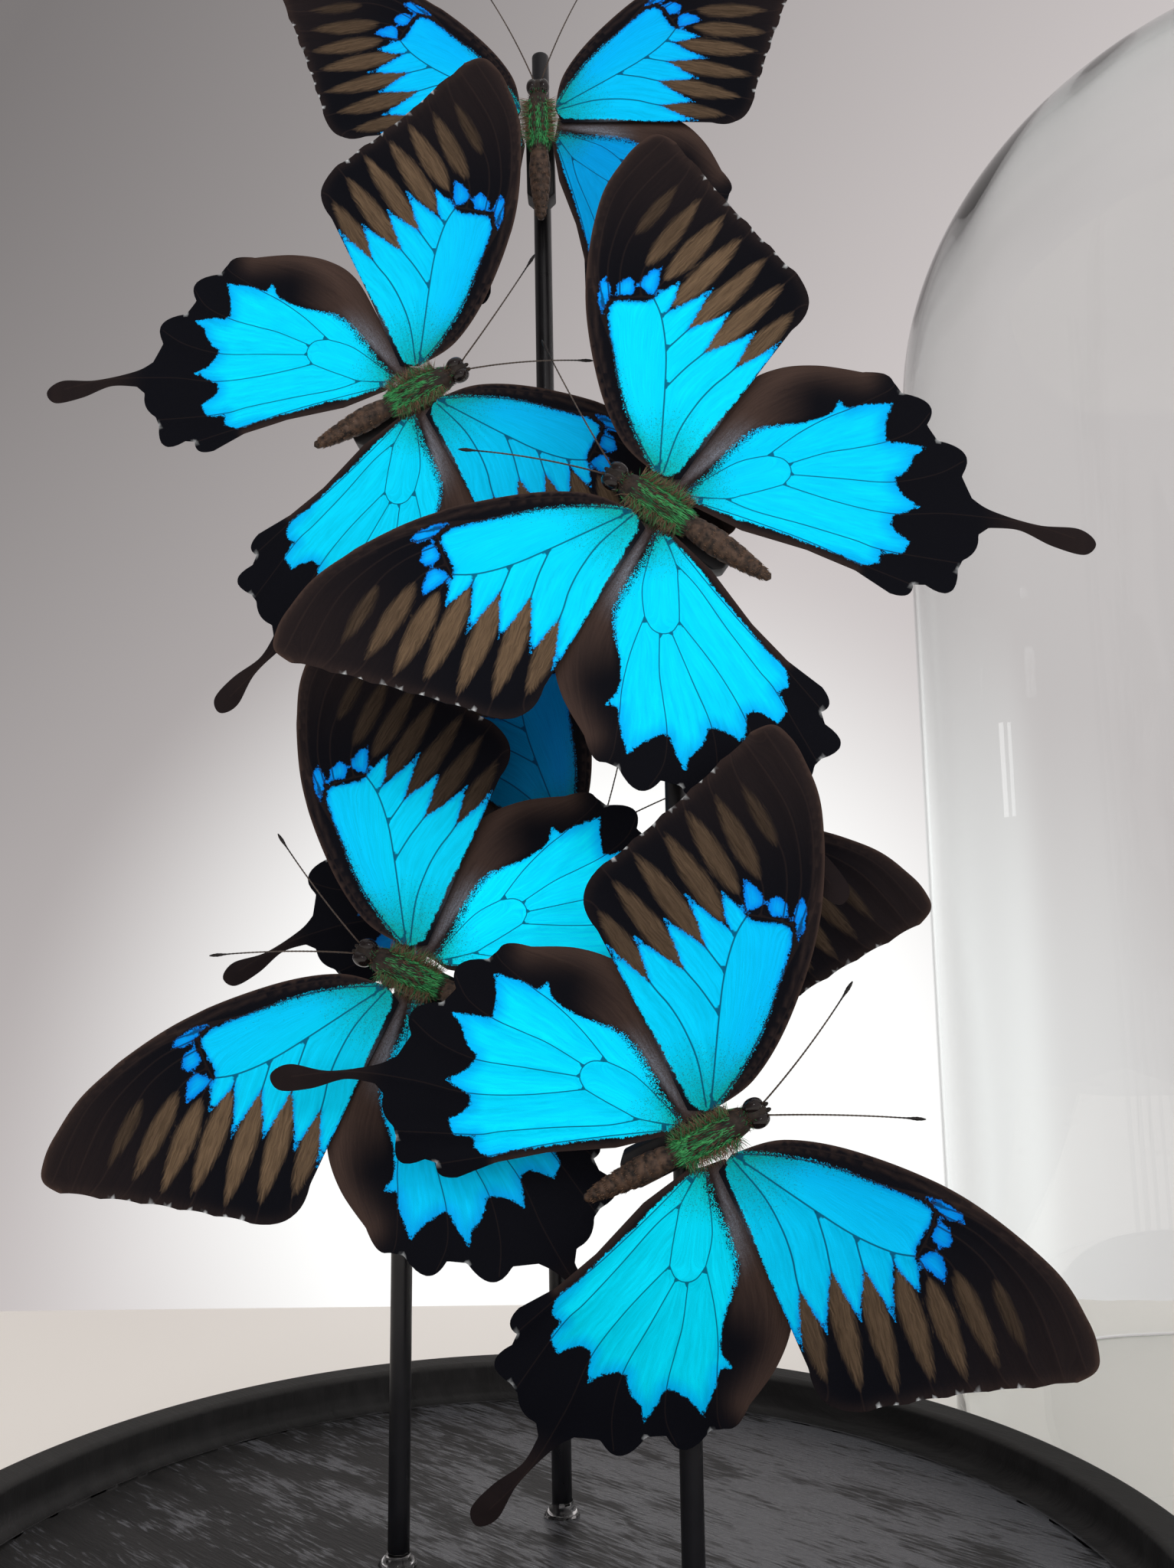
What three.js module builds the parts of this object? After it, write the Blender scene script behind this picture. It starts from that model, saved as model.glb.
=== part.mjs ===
// Six blue swallowtail butterflies on three rods in a turned wooden base,
// with the glass dome that covers them lifted off and standing beside the base.
// Millimetres, +Z up. The origin is the centre of the base's underside, on the
// surface that the base and the dome stand on. The front faces -Y.

import * as THREE from 'three'

// ---------------------------------------------------------------- dimensions

const base = {
  radius: 117.5,
  height: 22,
  floorHeight: 14,
  rimWidth: 9,
  edgeRound: 1.6,
  cove: 3,
  segments: 52,
}

const rodRadius = 2
const gap = 0.3 // clearance left between pieces that touch
// lean tips a rod's top towards -X, in degrees
const rods = {
  a: { x: 4.9, y: 34.5, top: 336.5, lean: 0.44 },
  b: { x: -24.5, y: 13, top: 246, lean: 0 },
  c: { x: 27.6, y: -7.5, top: 213, lean: 0 },
}

const glue = { outerRadius: 3.9, height: 3 }

const block = { width: 6.4, length: 20, thickness: 4.6, chamfer: 1.4, shift: -5.5 }

// Wings and bodies at scale 1; each butterfly has its own scale.
const forewingLength = 64 // wing base to apex
const hindwingLength = 50 // wing base to the root of the tail
const wingThickness = 0.4
const antenna = { length: 24, spread: 27, rise: 2.5, radius: 0.22 }

// Where the wings spring from the thorax: x to the side, y to the head, z up.
const wingRoots = {
  forewing: new THREE.Vector3(3.8, 2.6, 1.7),
  hindwing: new THREE.Vector3(3.8, -2.4, 0.7),
}

const dome = {
  radius: 107,
  wall: 2.4,
  straightHeight: 290,
  crownHeight: 98,
  x: 213.6,
  y: 104,
  segments: 36,
}

// One row for each butterfly, in degrees and millimetres. The thorax centre is
// at (x, y, z). turn, tip and heading are the body's angles about Z, X and Z.
// Each wing has its sweep towards the head and its lift above the body's plane.
const butterflies = [
  {
    rod: 'a', x: 2.3, y: 22.4, z: 309.2, scale: 1.01, turn: -1.3, tip: 89.8, heading: 0.9,
    forewings: { l: [34, 1], r: [32, 4] },
    hindwings: { l: [-54, 0], r: [-57, 2] },
  },
  {
    rod: 'b', x: -21.6, y: 0.9, z: 234.8, scale: 1.015, turn: -1.4, tip: 93.7, heading: -63.2,
    forewings: { l: [40, 2], r: [38, 5] },
    hindwings: { l: [-59, 0], r: [-54, 3] },
  },
  {
    rod: 'c', x: 24.9, y: -19.6, z: 202.5, scale: 1.055, turn: -0.8, tip: 88, heading: 54.5,
    forewings: { l: [33, 5], r: [36, 2] },
    hindwings: { l: [-54, 3], r: [-58, 0] },
  },
  {
    rod: 'b', x: -21.5, y: 0.9, z: 120.1, scale: 1.05, turn: -0.4, tip: 80, heading: 64.7,
    forewings: { l: [36, 2], r: [40, 4] },
    hindwings: { l: [-54, 1], r: [-51, 0] },
  },
  {
    rod: 'c', x: 30.5, y: -19.5, z: 92.6, scale: 1.01, turn: -4.4, tip: 94.1, heading: -63.8,
    forewings: { l: [38, 5], r: [35, 3] },
    hindwings: { l: [-52, 1], r: [-55, -1] },
  },
  {
    rod: 'a', x: 8.5, y: 22.4, z: 142.5, scale: 1.04, turn: -4.1, tip: 95.5, heading: -41.1,
    forewings: { l: [34, 4], r: [34, 6] },
    hindwings: { l: [-55, 1], r: [-54, 3] },
  },
]

// ----------------------------------------------------------------- materials

const materials = {
  wood: new THREE.MeshStandardMaterial({ color: 0x2b2826, roughness: 0.5 }),
  metal: new THREE.MeshStandardMaterial({ color: 0x0d0d0e, roughness: 0.35, metalness: 0.4 }),
  glue: new THREE.MeshStandardMaterial({ color: 0x3c3c3c, roughness: 0.1 }),
  plastic: new THREE.MeshStandardMaterial({ color: 0x0c0c0d, roughness: 0.45 }),
  wing: new THREE.MeshStandardMaterial({ color: 0x0098d8, roughness: 0.45 }),
  hair: new THREE.MeshStandardMaterial({ color: 0x243326, roughness: 0.85 }),
  horn: new THREE.MeshStandardMaterial({ color: 0x141010, roughness: 0.5 }),
  glass: new THREE.MeshStandardMaterial({
    color: 0xdfeee9,
    roughness: 0.03,
    transparent: true,
    opacity: 0.35,
  }),
}

const group = new THREE.Group()
group.name = 'butterfly_dome'

function add(name, geometry, material) {
  const mesh = new THREE.Mesh(geometry, material)
  mesh.name = name
  group.add(mesh)
}

// ------------------------------------------------------------------- helpers

const radians = THREE.MathUtils.degToRad

// A solid turned about the vertical axis from [radius, height] pairs.
function turned(profile, segments) {
  const points = profile.map(([radius, height]) => new THREE.Vector2(radius, height))
  return new THREE.LatheGeometry(points, segments).rotateX(Math.PI / 2)
}

// Points on a quarter ellipse from its side, at height 0, to its top.
function crown(radius, height, steps) {
  return Array.from({ length: steps + 1 }, (_, i) => {
    const angle = (i / steps) * (Math.PI / 2)
    const onAxis = i === steps
    return [onAxis ? 0 : radius * Math.cos(angle), height * Math.sin(angle)]
  })
}

// Appends rounded lobes: each springs from a notch, bulges towards the second
// point and ends at the third.
function lobes(shape, rows) {
  for (const [from, bulge, to] of rows) {
    shape.lineTo(...from)
    shape.quadraticCurveTo(...bulge, ...to)
  }
}

// Appends a margin that dips between the vein ends by the given depth.
function scallop(shape, ends, depth) {
  for (const [x, y] of ends) {
    const from = shape.currentPoint.clone()
    const to = new THREE.Vector2(x, y)
    const inward = to.clone().sub(from).rotateAround(new THREE.Vector2(), -Math.PI / 2).setLength(depth)
    const middle = from.add(to).multiplyScalar(0.5).add(inward)
    shape.quadraticCurveTo(middle.x, middle.y, to.x, to.y)
  }
}

// A thin plate of the outline, centred on its own plane.
function plate(shape, divisions) {
  const geometry = new THREE.ExtrudeGeometry(shape, {
    depth: wingThickness,
    bevelEnabled: false,
    curveSegments: divisions,
  })
  return geometry.translate(0, 0, -wingThickness / 2)
}

// ---------------------------------------------------------------------- base

function baseSolid() {
  const { radius, height, floorHeight, rimWidth, edgeRound, cove } = base
  const inner = radius - rimWidth
  const profile = [
    [0, 0],
    [radius - 3, 0],
    [radius, 3],
    [radius, height - edgeRound],
    [radius - edgeRound, height],
    [inner + 0.8, height],
    [inner, height - 0.8],
    [inner - 0.6, floorHeight + cove],
    [inner - 0.6 - cove * 0.3, floorHeight + cove * 0.3],
    [inner - 0.6 - cove, floorHeight],
    [0, floorHeight],
  ]
  return turned(profile, base.segments)
}

add('base', baseSolid(), materials.wood)

// ---------------------------------------------------------------------- rods

function rodSolid({ x, y, top, lean }) {
  const foot = base.floorHeight + gap
  const domed = rodRadius * 0.35
  const profile = [
    [0, foot],
    [rodRadius, foot],
    [rodRadius, top - domed],
    [rodRadius * 0.7, top],
    [0, top],
  ]
  return turned(profile, 16).rotateY(-radians(lean)).translate(x, y, 0)
}

// The bead runs round the foot of the rod, a gap away from rod and floor.
function glueBead({ x, y }) {
  const inner = rodRadius + gap
  const { outerRadius, height } = glue
  const profile = [
    [inner, 0],
    [outerRadius, 0],
    [outerRadius - 0.4, height * 0.4],
    [inner + 0.6, height * 0.8],
    [inner, height],
    [inner, 0],
  ]
  return turned(profile, 14).translate(x, y, base.floorHeight + gap)
}

for (const [letter, rod] of Object.entries(rods)) {
  add(`rod_${letter}`, rodSolid(rod), materials.metal)
  add(`glue_${letter}`, glueBead(rod), materials.glue)
}

// --------------------------------------------------------------- butterflies

// Head, thorax and abdomen in one piece along Y, head towards +Y.
function bodySolid(scale) {
  const profile = [
    [0, -23],
    [1.3, -21],
    [2.1, -16],
    [2.5, -11],
    [2.1, -6.6],
    [2.9, -4],
    [3.3, 0],
    [3, 3.8],
    [1.9, 6.4],
    [2.2, 8.4],
    [1.9, 10.4],
    [0, 11.6],
  ]
  const points = profile.map(([radius, along]) => new THREE.Vector2(radius * scale, along * scale))
  return new THREE.LatheGeometry(points, 10)
}

// From the base along the curved front edge to the apex, down the outer margin
// to the inner corner, and back along the straight rear edge.
function forewingOutline(length, side) {
  const at = (x, y) => [side * x * length, y * length]
  const shape = new THREE.Shape()
  const point = ([x, y]) => new THREE.Vector2(x, y)
  shape.moveTo(...at(0, 0))
  const frontEdge = [
    at(0.1, 0.095),
    at(0.28, 0.158),
    at(0.54, 0.185),
    at(0.8, 0.14),
    at(0.93, 0.068),
    at(1, -0.012),
  ]
  shape.splineThru(frontEdge.map(point))
  const veinEnds = [
    at(0.975, -0.07),
    at(0.885, -0.137),
    at(0.8, -0.198),
    at(0.72, -0.26),
    at(0.645, -0.32),
    at(0.57, -0.382),
  ]
  scallop(shape, veinEnds, side * 0.006 * length)
  shape.quadraticCurveTo(...at(0.47, -0.46), ...at(0.4, -0.367))
  shape.lineTo(...at(0.2, -0.21))
  shape.lineTo(...at(-0.01, -0.055))
  return shape
}

// From the base, beside the thorax, over the rounded front edge, along the lobed
// margin, round the long tail, along the lobes behind it and back beside the abdomen.
function hindwingOutline(length, side) {
  const at = (x, y) => [side * x * length, y * length]
  const shape = new THREE.Shape()
  const point = ([x, y]) => new THREE.Vector2(x, y)
  shape.moveTo(...at(0, 0))
  shape.lineTo(...at(-0.055, 0.05))
  const frontEdge = [
    at(0.07, 0.22),
    at(0.19, 0.405),
    at(0.31, 0.478),
    at(0.45, 0.497),
    at(0.6, 0.473),
  ]
  shape.splineThru(frontEdge.map(point))
  lobes(shape, [
    [at(0.62, 0.474), at(0.7, 0.478), at(0.705, 0.44)],
    [at(0.736, 0.403), at(0.88, 0.385), at(0.821, 0.287)],
    [at(0.858, 0.233), at(1, 0.21), at(0.94, 0.108)],
  ])
  shape.lineTo(...at(0.974, 0.03))
  const tail = [
    at(1.04, -0.013),
    at(1.19, -0.062),
    at(1.327, -0.068),
    at(1.384, -0.115),
    at(1.344, -0.159),
    at(1.24, -0.133),
    at(1.13, -0.079),
    at(1.03, -0.073),
  ]
  shape.splineThru(tail.map(point))
  lobes(shape, [
    [at(0.993, -0.101), at(1, -0.165), at(0.938, -0.197)],
    [at(0.923, -0.229), at(0.925, -0.36), at(0.816, -0.285)],
    [at(0.775, -0.287), at(0.775, -0.345), at(0.698, -0.321)],
  ])
  for (const corner of [at(0.58, -0.245), at(0.42, -0.18), at(0.2, -0.12), at(0.04, -0.045)]) {
    shape.lineTo(...corner)
  }
  return shape
}

// Puts a wing on its root: swept in its own plane, then lifted about the body.
function wingPlace(root, [sweep, lift], side, scale) {
  return new THREE.Matrix4()
    .makeTranslation(side * root.x * scale, root.y * scale, root.z * scale)
    .multiply(new THREE.Matrix4().makeRotationY(-side * radians(lift)))
    .multiply(new THREE.Matrix4().makeRotationZ(side * radians(sweep)))
}

// A slender feeler that leaves the head sideways and bows up and out.
function antennaSolid(side, scale) {
  const start = new THREE.Vector3(side * 1.3, 11.4, 1.4).multiplyScalar(scale)
  const angle = radians(antenna.spread)
  const reach = antenna.length * scale
  const end = start.clone().add(
    new THREE.Vector3(side * Math.sin(angle) * reach, Math.cos(angle) * reach, antenna.rise),
  )
  const middle = start.clone().lerp(end, 0.5)
  middle.x -= side * 0.9
  middle.z += 1.2
  const path = new THREE.QuadraticBezierCurve3(start, middle, end)
  const section = new THREE.Shape()
  section.absarc(0, 0, antenna.radius, 0, Math.PI * 2)
  return new THREE.ExtrudeGeometry(section, { steps: 5, extrudePath: path, curveSegments: 3 })
}

// The small block that holds a body on its rod, in line with the body.
function blockSolid() {
  const { width, length, thickness, chamfer, shift } = block
  const half = width / 2
  const low = shift - length / 2
  const high = shift + length / 2
  const shape = new THREE.Shape([
    new THREE.Vector2(-half + chamfer, low),
    new THREE.Vector2(half - chamfer, low),
    new THREE.Vector2(half, low + chamfer),
    new THREE.Vector2(half, high - chamfer),
    new THREE.Vector2(half - chamfer, high),
    new THREE.Vector2(-half + chamfer, high),
    new THREE.Vector2(-half, high - chamfer),
    new THREE.Vector2(-half, low + chamfer),
  ])
  const solid = new THREE.ExtrudeGeometry(shape, { depth: thickness, bevelEnabled: false })
  return solid
}

butterflies.forEach((row, index) => {
  const number = index + 1
  const { scale } = row
  const pose = new THREE.Matrix4()
    .makeTranslation(row.x, row.y, row.z)
    .multiply(new THREE.Matrix4().makeRotationZ(radians(row.turn)))
    .multiply(new THREE.Matrix4().makeRotationX(radians(row.tip)))
    .multiply(new THREE.Matrix4().makeRotationZ(radians(row.heading)))
  const place = (geometry) => geometry.applyMatrix4(pose)

  add(`body_${number}`, place(bodySolid(scale)), materials.hair)

  const blockTop = -3.3 * scale - gap
  const holder = blockSolid().translate(0, 0, blockTop - block.thickness)
  add(`block_${number}`, place(holder), materials.plastic)

  for (const [letter, side] of Object.entries({ l: -1, r: 1 })) {
    const fore = plate(forewingOutline(forewingLength * scale, side), 3)
    const hind = plate(hindwingOutline(hindwingLength * scale, side), 2)
    fore.applyMatrix4(wingPlace(wingRoots.forewing, row.forewings[letter], side, scale))
    hind.applyMatrix4(wingPlace(wingRoots.hindwing, row.hindwings[letter], side, scale))
    add(`forewing_${letter}_${number}`, place(fore), materials.wing)
    add(`hindwing_${letter}_${number}`, place(hind), materials.wing)
    add(`antenna_${letter}_${number}`, place(antennaSolid(side, scale)), materials.horn)
  }
})

// ---------------------------------------------------------------------- dome

// A blown dome, open at the foot, with a rounded lip.
function domeSolid() {
  const { radius, wall, straightHeight, crownHeight, segments } = dome
  const outside = crown(radius, crownHeight, 8).map(([r, z]) => [r, z + straightHeight])
  const inside = crown(radius - wall, crownHeight - wall, 8).map(([r, z]) => [r, z + straightHeight])
  const lip = [
    [radius - wall, wall / 2],
    [radius - wall * 0.75, 0],
    [radius - wall * 0.25, 0],
    [radius, wall / 2],
  ]
  const profile = [...lip, ...outside, ...inside.reverse(), lip[0]]
  return turned(profile, segments).translate(dome.x, dome.y, 0)
}

add('dome', domeSolid(), materials.glass)

export default group
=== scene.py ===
"""Six mounted blue swallowtails on rods in a black wooden base, and their glass dome."""

import math
from types import SimpleNamespace

import bmesh
import bpy
import numpy as np
from bpy.props import FloatProperty, FloatVectorProperty, IntProperty, PointerProperty
from mathutils import Matrix, Vector
from mathutils.geometry import delaunay_2d_cdt


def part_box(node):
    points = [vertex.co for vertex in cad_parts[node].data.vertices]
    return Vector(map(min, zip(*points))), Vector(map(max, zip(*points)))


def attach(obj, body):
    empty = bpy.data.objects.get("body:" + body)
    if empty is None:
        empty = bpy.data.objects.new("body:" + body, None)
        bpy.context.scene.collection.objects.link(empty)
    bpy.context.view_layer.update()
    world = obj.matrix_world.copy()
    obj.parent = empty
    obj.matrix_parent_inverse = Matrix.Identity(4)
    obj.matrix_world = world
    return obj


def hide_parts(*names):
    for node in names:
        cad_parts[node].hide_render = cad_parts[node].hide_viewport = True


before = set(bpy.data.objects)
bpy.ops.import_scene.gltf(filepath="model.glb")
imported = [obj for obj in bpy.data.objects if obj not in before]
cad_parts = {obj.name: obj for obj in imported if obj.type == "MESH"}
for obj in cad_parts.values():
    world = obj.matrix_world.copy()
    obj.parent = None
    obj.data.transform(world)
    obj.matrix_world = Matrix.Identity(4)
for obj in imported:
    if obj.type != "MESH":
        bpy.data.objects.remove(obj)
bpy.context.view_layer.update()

bl_info = {
    "name": "Butterfly dome",
    "version": (1, 0, 0),
    "blender": (4, 5, 0),
    "location": "3D View > Sidebar > Butterfly dome",
    "description": "Builds mounted butterflies on rods in a wooden base, with a glass dome",
    "category": "Object",
}

MM = 0.001
SIDES = {"l": -1, "r": 1}

# The layout in millimetres, the same as the frame's. Angles are in degrees.
# Rods: x, y, top and how far the top leans towards -X.
RODS = {
    "a": (4.9, 34.5, 336.5, 0.44), "b": (-24.5, 13.0, 246.0, 0.0), "c": (27.6, -7.5, 213.0, 0.0),
}

# Each butterfly: thorax centre, scale, (turn, tip, heading), then the sweep and lift
# of its wings. looks has, for forewing l and r and hindwing l and r, the hue from 0,
# azure, over 0.5, cyan, to 1, teal, a painted colour shift for how the wing is turned
# to the light, and how bright the blue is, a painted light and shade for the whole
# wing, darkest on the sixth butterfly, which lies in the shade of the others. wool is
# how pale the streaks of forewing l and r are.
BUTTERFLIES = [
    {
        "at": (2.3, 22.4, 309.2), "scale": 1.01, "angles": (-1.3, 89.8, 0.9),
        "fore": {"l": (34, 1), "r": (32, 4)}, "hind": {"l": (-54, 0), "r": (-57, 2)},
        "looks": ((0.24, 0.97), (0.24, 0.94), (0.2, 0.8), (0.12, 0.74)), "wool": (0.6, 0.65),
    },
    {
        "at": (-21.6, 0.9, 234.8), "scale": 1.015, "angles": (-1.4, 93.7, -63.2),
        "fore": {"l": (40, 2), "r": (38, 5)}, "hind": {"l": (-59, 0), "r": (-54, 3)},
        "looks": ((0.36, 0.93), (0.30, 0.86), (0.55, 1.02), (0.58, 0.98)), "wool": (0.75, 0.5),
    },
    {
        "at": (24.9, -19.6, 202.5), "scale": 1.055, "angles": (-0.8, 88.0, 54.5),
        "fore": {"l": (33, 5), "r": (36, 2)}, "hind": {"l": (-54, 3), "r": (-58, 0)},
        "looks": ((0.50, 1.0), (0.54, 1.03), (0.50, 1.03), (0.46, 1.0)), "wool": (0.95, 0.95),
    },
    {
        "at": (-21.5, 0.9, 120.1), "scale": 1.05, "angles": (-0.4, 80.0, 64.7),
        "fore": {"l": (36, 2), "r": (40, 4)}, "hind": {"l": (-54, 1), "r": (-51, 0)},
        "looks": ((0.44, 0.92), (0.44, 0.94), (0.40, 0.94), (0.54, 1.38)), "wool": (1.0, 0.12),
    },
    {
        "at": (30.5, -19.5, 92.6), "scale": 1.01, "angles": (-4.4, 94.1, -63.8),
        "fore": {"l": (38, 5), "r": (35, 3)}, "hind": {"l": (-52, 1), "r": (-55, -1)},
        "looks": ((0.34, 1.0), (0.32, 0.9), (0.50, 1.14), (0.78, 1.15)), "wool": (0.5, 0.55),
    },
    {
        "at": (8.5, 22.4, 142.5), "scale": 1.04, "angles": (-4.1, 95.5, -41.1),
        "fore": {"l": (34, 4), "r": (34, 6)}, "hind": {"l": (-55, 1), "r": (-54, 3)},
        "looks": ((0.0, 0.5), (0.0, 0.4), (0.0, 0.42), (0.0, 0.4)), "wool": (0.3, 0.3),
    },
]

# Wing drawings as fractions of the wing's length: x from the root, y to the head.
FORE_FRONT = [
    (0, 0), (0.1, 0.095), (0.28, 0.158), (0.54, 0.185), (0.8, 0.14), (0.93, 0.068),
    (0.985, 0.012), (0.997, -0.028), (0.97, -0.074),
]
FORE_ENDS = [(0.885, -0.137), (0.8, -0.198), (0.72, -0.26), (0.645, -0.32), (0.57, -0.382)]
FORE_CORNER = [(0.47, -0.46), (0.4, -0.367)]
FORE_REAR = [(0.2, -0.21), (-0.01, -0.055)]
FORE_VEINS = [
    [(0, 0), (0.052, -0.004), (0.245, -0.022), (0.355, -0.028), (0.45, -0.019), (0.51, 0.002)],
    [(0.45, -0.019), (0.467, -0.038), (0.56, -0.14), (0.663, -0.245), (0.7, -0.273)],
    [(0.355, -0.028), (0.411, -0.09), (0.51, -0.2), (0.6, -0.303), (0.63, -0.332)],
    [
        (0.245, -0.022), (0.3, -0.078), (0.344, -0.132), (0.44, -0.245), (0.522, -0.34),
        (0.56, -0.385),
    ],
    [
        (0.01, -0.012), (0.115, -0.052), (0.19, -0.1), (0.245, -0.15), (0.297, -0.213),
        (0.448, -0.368), (0.47, -0.41),
    ],
    [(0, 0), (0.112, 0.056), (0.238, 0.095), (0.369, 0.116), (0.45, 0.13), (0.503, 0.12)],
    [(0.503, 0.12), (0.511, 0.08), (0.512, 0.04), (0.51, 0.002)],
    [(0.51, 0.002), (0.545, -0.02), (0.64, -0.11), (0.735, -0.197), (0.775, -0.215)],
    [(0.512, 0.035), (0.61, 0.016), (0.793, -0.14), (0.85, -0.162)],
    [(0.51, 0.092), (0.61, 0.085), (0.705, 0.045), (0.842, -0.082), (0.91, -0.12)],
    [(0.503, 0.12), (0.63, 0.118), (0.79, 0.055), (0.94, -0.085)],
    [(0.465, 0.129), (0.62, 0.148), (0.82, 0.095), (0.975, -0.04)],
    [(0.38, 0.119), (0.55, 0.163), (0.72, 0.162)],
    [(0.02, 0.02), (0.12, 0.088), (0.28, 0.142), (0.45, 0.176)],
]
# The grain runs between the veins: each vein's place in the order from the rear edge,
# as (x, order) pairs.
FORE_ORDER = [
    [(0.05, 2.0), (0.245, 2.2), (0.355, 3.0), (0.45, 4.0), (0.51, 5.0)], [(0, 4)], [(0, 3)],
    [(0, 2)], [(0, 1)], [(0.05, 8.6), (0.5, 8.0)], [(0, 6.5)], [(0, 5)], [(0, 6)], [(0, 7)],
    [(0, 8)], [(0, 9)], [(0, 10)], [(0, 10.5)],
]
FORE_BLUE = [
    [
        (0.012, 0.012), (0.06, 0.036), (0.118, 0.058), (0.185, 0.082), (0.262, 0.098),
        (0.332, 0.107), (0.41, 0.12), (0.462, 0.125), (0.495, 0.116), (0.503, 0.098),
        (0.5, 0.055), (0.498, 0.026), (0.505, 0.0), (0.52, -0.014), (0.538, -0.044),
        (0.555, -0.073), (0.513, -0.06), (0.482, -0.047), (0.465, -0.034), (0.482, -0.07),
        (0.498, -0.104), (0.514, -0.132), (0.533, -0.163), (0.497, -0.139), (0.452, -0.113),
        (0.41, -0.088), (0.427, -0.125), (0.441, -0.162), (0.461, -0.205), (0.425, -0.183),
        (0.383, -0.157), (0.342, -0.13), (0.357, -0.17), (0.377, -0.218), (0.402, -0.272),
        (0.359, -0.246), (0.325, -0.228), (0.294, -0.21), (0.316, -0.25), (0.34, -0.294),
        (0.369, -0.338), (0.315, -0.299), (0.255, -0.255), (0.195, -0.203), (0.137, -0.152),
        (0.075, -0.104), (0.008, -0.05), (-0.002, -0.02),
    ],
    [
        (0.468, 0.142), (0.5, 0.128), (0.54, 0.116), (0.577, 0.128), (0.56, 0.145),
        (0.505, 0.151),
    ],
    [
        (0.519, 0.06), (0.54, 0.05), (0.562, 0.052), (0.573, 0.068), (0.553, 0.096),
        (0.521, 0.106),
    ],
    [
        (0.515, -0.004), (0.55, -0.014), (0.598, -0.024), (0.59, 0.002), (0.568, 0.028),
        (0.546, 0.038), (0.528, 0.02),
    ],
]
# Woolly streaks along the veins: start, end and how strong each one is.
FORE_STREAKS = [
    ((0.69, 0.048), (0.845, -0.082), 0.45), ((0.6, 0.02), (0.8, -0.14), 0.8),
    ((0.555, -0.028), (0.745, -0.204), 0.95), ((0.478, -0.046), (0.68, -0.25), 1.0),
    ((0.41, -0.088), (0.615, -0.314), 1.0), ((0.342, -0.13), (0.537, -0.355), 1.0),
    ((0.298, -0.214), (0.455, -0.38), 0.9),
]
# The edge of the blue beside the body, where it fades out softly.
FORE_SOFT = [*FORE_BLUE[0][:6], FORE_BLUE[0][7]]
HIND_FRONT = [
    (-0.055, 0.05), (0.07, 0.22), (0.19, 0.405), (0.31, 0.478), (0.45, 0.497), (0.6, 0.473),
]
# Rounded lobes of the margin: each starts at a notch, bulges and ends at the next notch.
HIND_UPPER = [
    [(0.62, 0.474), (0.7, 0.478), (0.705, 0.44)],
    [(0.736, 0.403), (0.88, 0.385), (0.821, 0.287)], [(0.858, 0.233), (1, 0.21), (0.94, 0.108)],
]
HIND_TAIL = [
    (0.974, 0.03), (1.04, -0.013), (1.19, -0.062), (1.327, -0.068), (1.384, -0.115),
    (1.344, -0.159), (1.24, -0.133), (1.13, -0.079), (1.03, -0.073),
]
HIND_LOWER = [
    [(0.993, -0.101), (1, -0.165), (0.938, -0.197)],
    [(0.923, -0.229), (0.925, -0.36), (0.816, -0.285)],
    [(0.775, -0.287), (0.775, -0.345), (0.698, -0.321)],
]
HIND_REAR = [(0.58, -0.245), (0.42, -0.18), (0.2, -0.12), (0.04, -0.045)]
HIND_VEINS = [
    [(0.01, 0.005), (0.06, 0.045), (0.18, 0.122), (0.28, 0.15)],
    [(0.28, 0.15), (0.33, 0.142), (0.357, 0.115), (0.36, 0.08), (0.335, 0.047)],
    [(0.02, -0.008), (0.14, -0.012), (0.2, 0.003), (0.272, 0.025), (0.335, 0.047)],
    [(0.02, 0.03), (0.09, 0.165), (0.22, 0.325), (0.36, 0.415), (0.53, 0.455), (0.675, 0.465)],
    [(0.28, 0.15), (0.382, 0.235), (0.483, 0.3), (0.566, 0.339), (0.68, 0.4), (0.715, 0.435)],
    [(0.357, 0.125), (0.48, 0.17), (0.57, 0.19), (0.68, 0.216), (0.775, 0.262), (0.83, 0.33)],
    [(0.36, 0.085), (0.54, 0.078), (0.71, 0.072), (0.85, 0.105), (0.945, 0.16)],
    [
        (0.335, 0.047), (0.53, -0.01), (0.715, -0.042), (0.9, -0.035), (1.12, -0.05),
        (1.31, -0.105),
    ],
    [
        (0.14, -0.012), (0.24, -0.052), (0.41, -0.094), (0.575, -0.14), (0.675, -0.172),
        (0.93, -0.21),
    ],
    [(0.05, -0.03), (0.25, -0.092), (0.44, -0.158), (0.56, -0.21), (0.77, -0.29)],
]
HIND_ORDER = [
    [(0.05, 6.6), (0.28, 6.0)], [(0, 4.6)], [(0.05, 1.8), (0.14, 2.1), (0.335, 3.2)], [(0, 8)],
    [(0, 6)], [(0, 5)], [(0, 4)], [(0, 3)], [(0, 2)], [(0, 1)],
]
HIND_BLUE = [
    [
        (0.02, 0.01), (0.09, 0.075), (0.137, 0.14), (0.19, 0.2), (0.23, 0.235), (0.275, 0.257),
        (0.336, 0.268), (0.4, 0.277), (0.466, 0.3), (0.5, 0.322), (0.524, 0.372),
        (0.546, 0.336), (0.594, 0.35), (0.65, 0.358), (0.706, 0.362), (0.685, 0.312),
        (0.679, 0.256), (0.68, 0.222), (0.7, 0.213), (0.74, 0.214), (0.82, 0.205),
        (0.777, 0.172), (0.765, 0.137), (0.736, 0.1), (0.71, 0.088), (0.715, 0.062),
        (0.75, 0.02), (0.798, -0.013), (0.744, -0.034), (0.705, -0.048), (0.7, -0.08),
        (0.725, -0.11), (0.765, -0.14), (0.737, -0.183), (0.69, -0.182), (0.665, -0.172),
        (0.662, -0.215), (0.63, -0.226), (0.6, -0.228), (0.527, -0.192), (0.4, -0.15),
        (0.27, -0.105), (0.19, -0.085), (0.042, -0.028),
    ],
]
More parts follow.
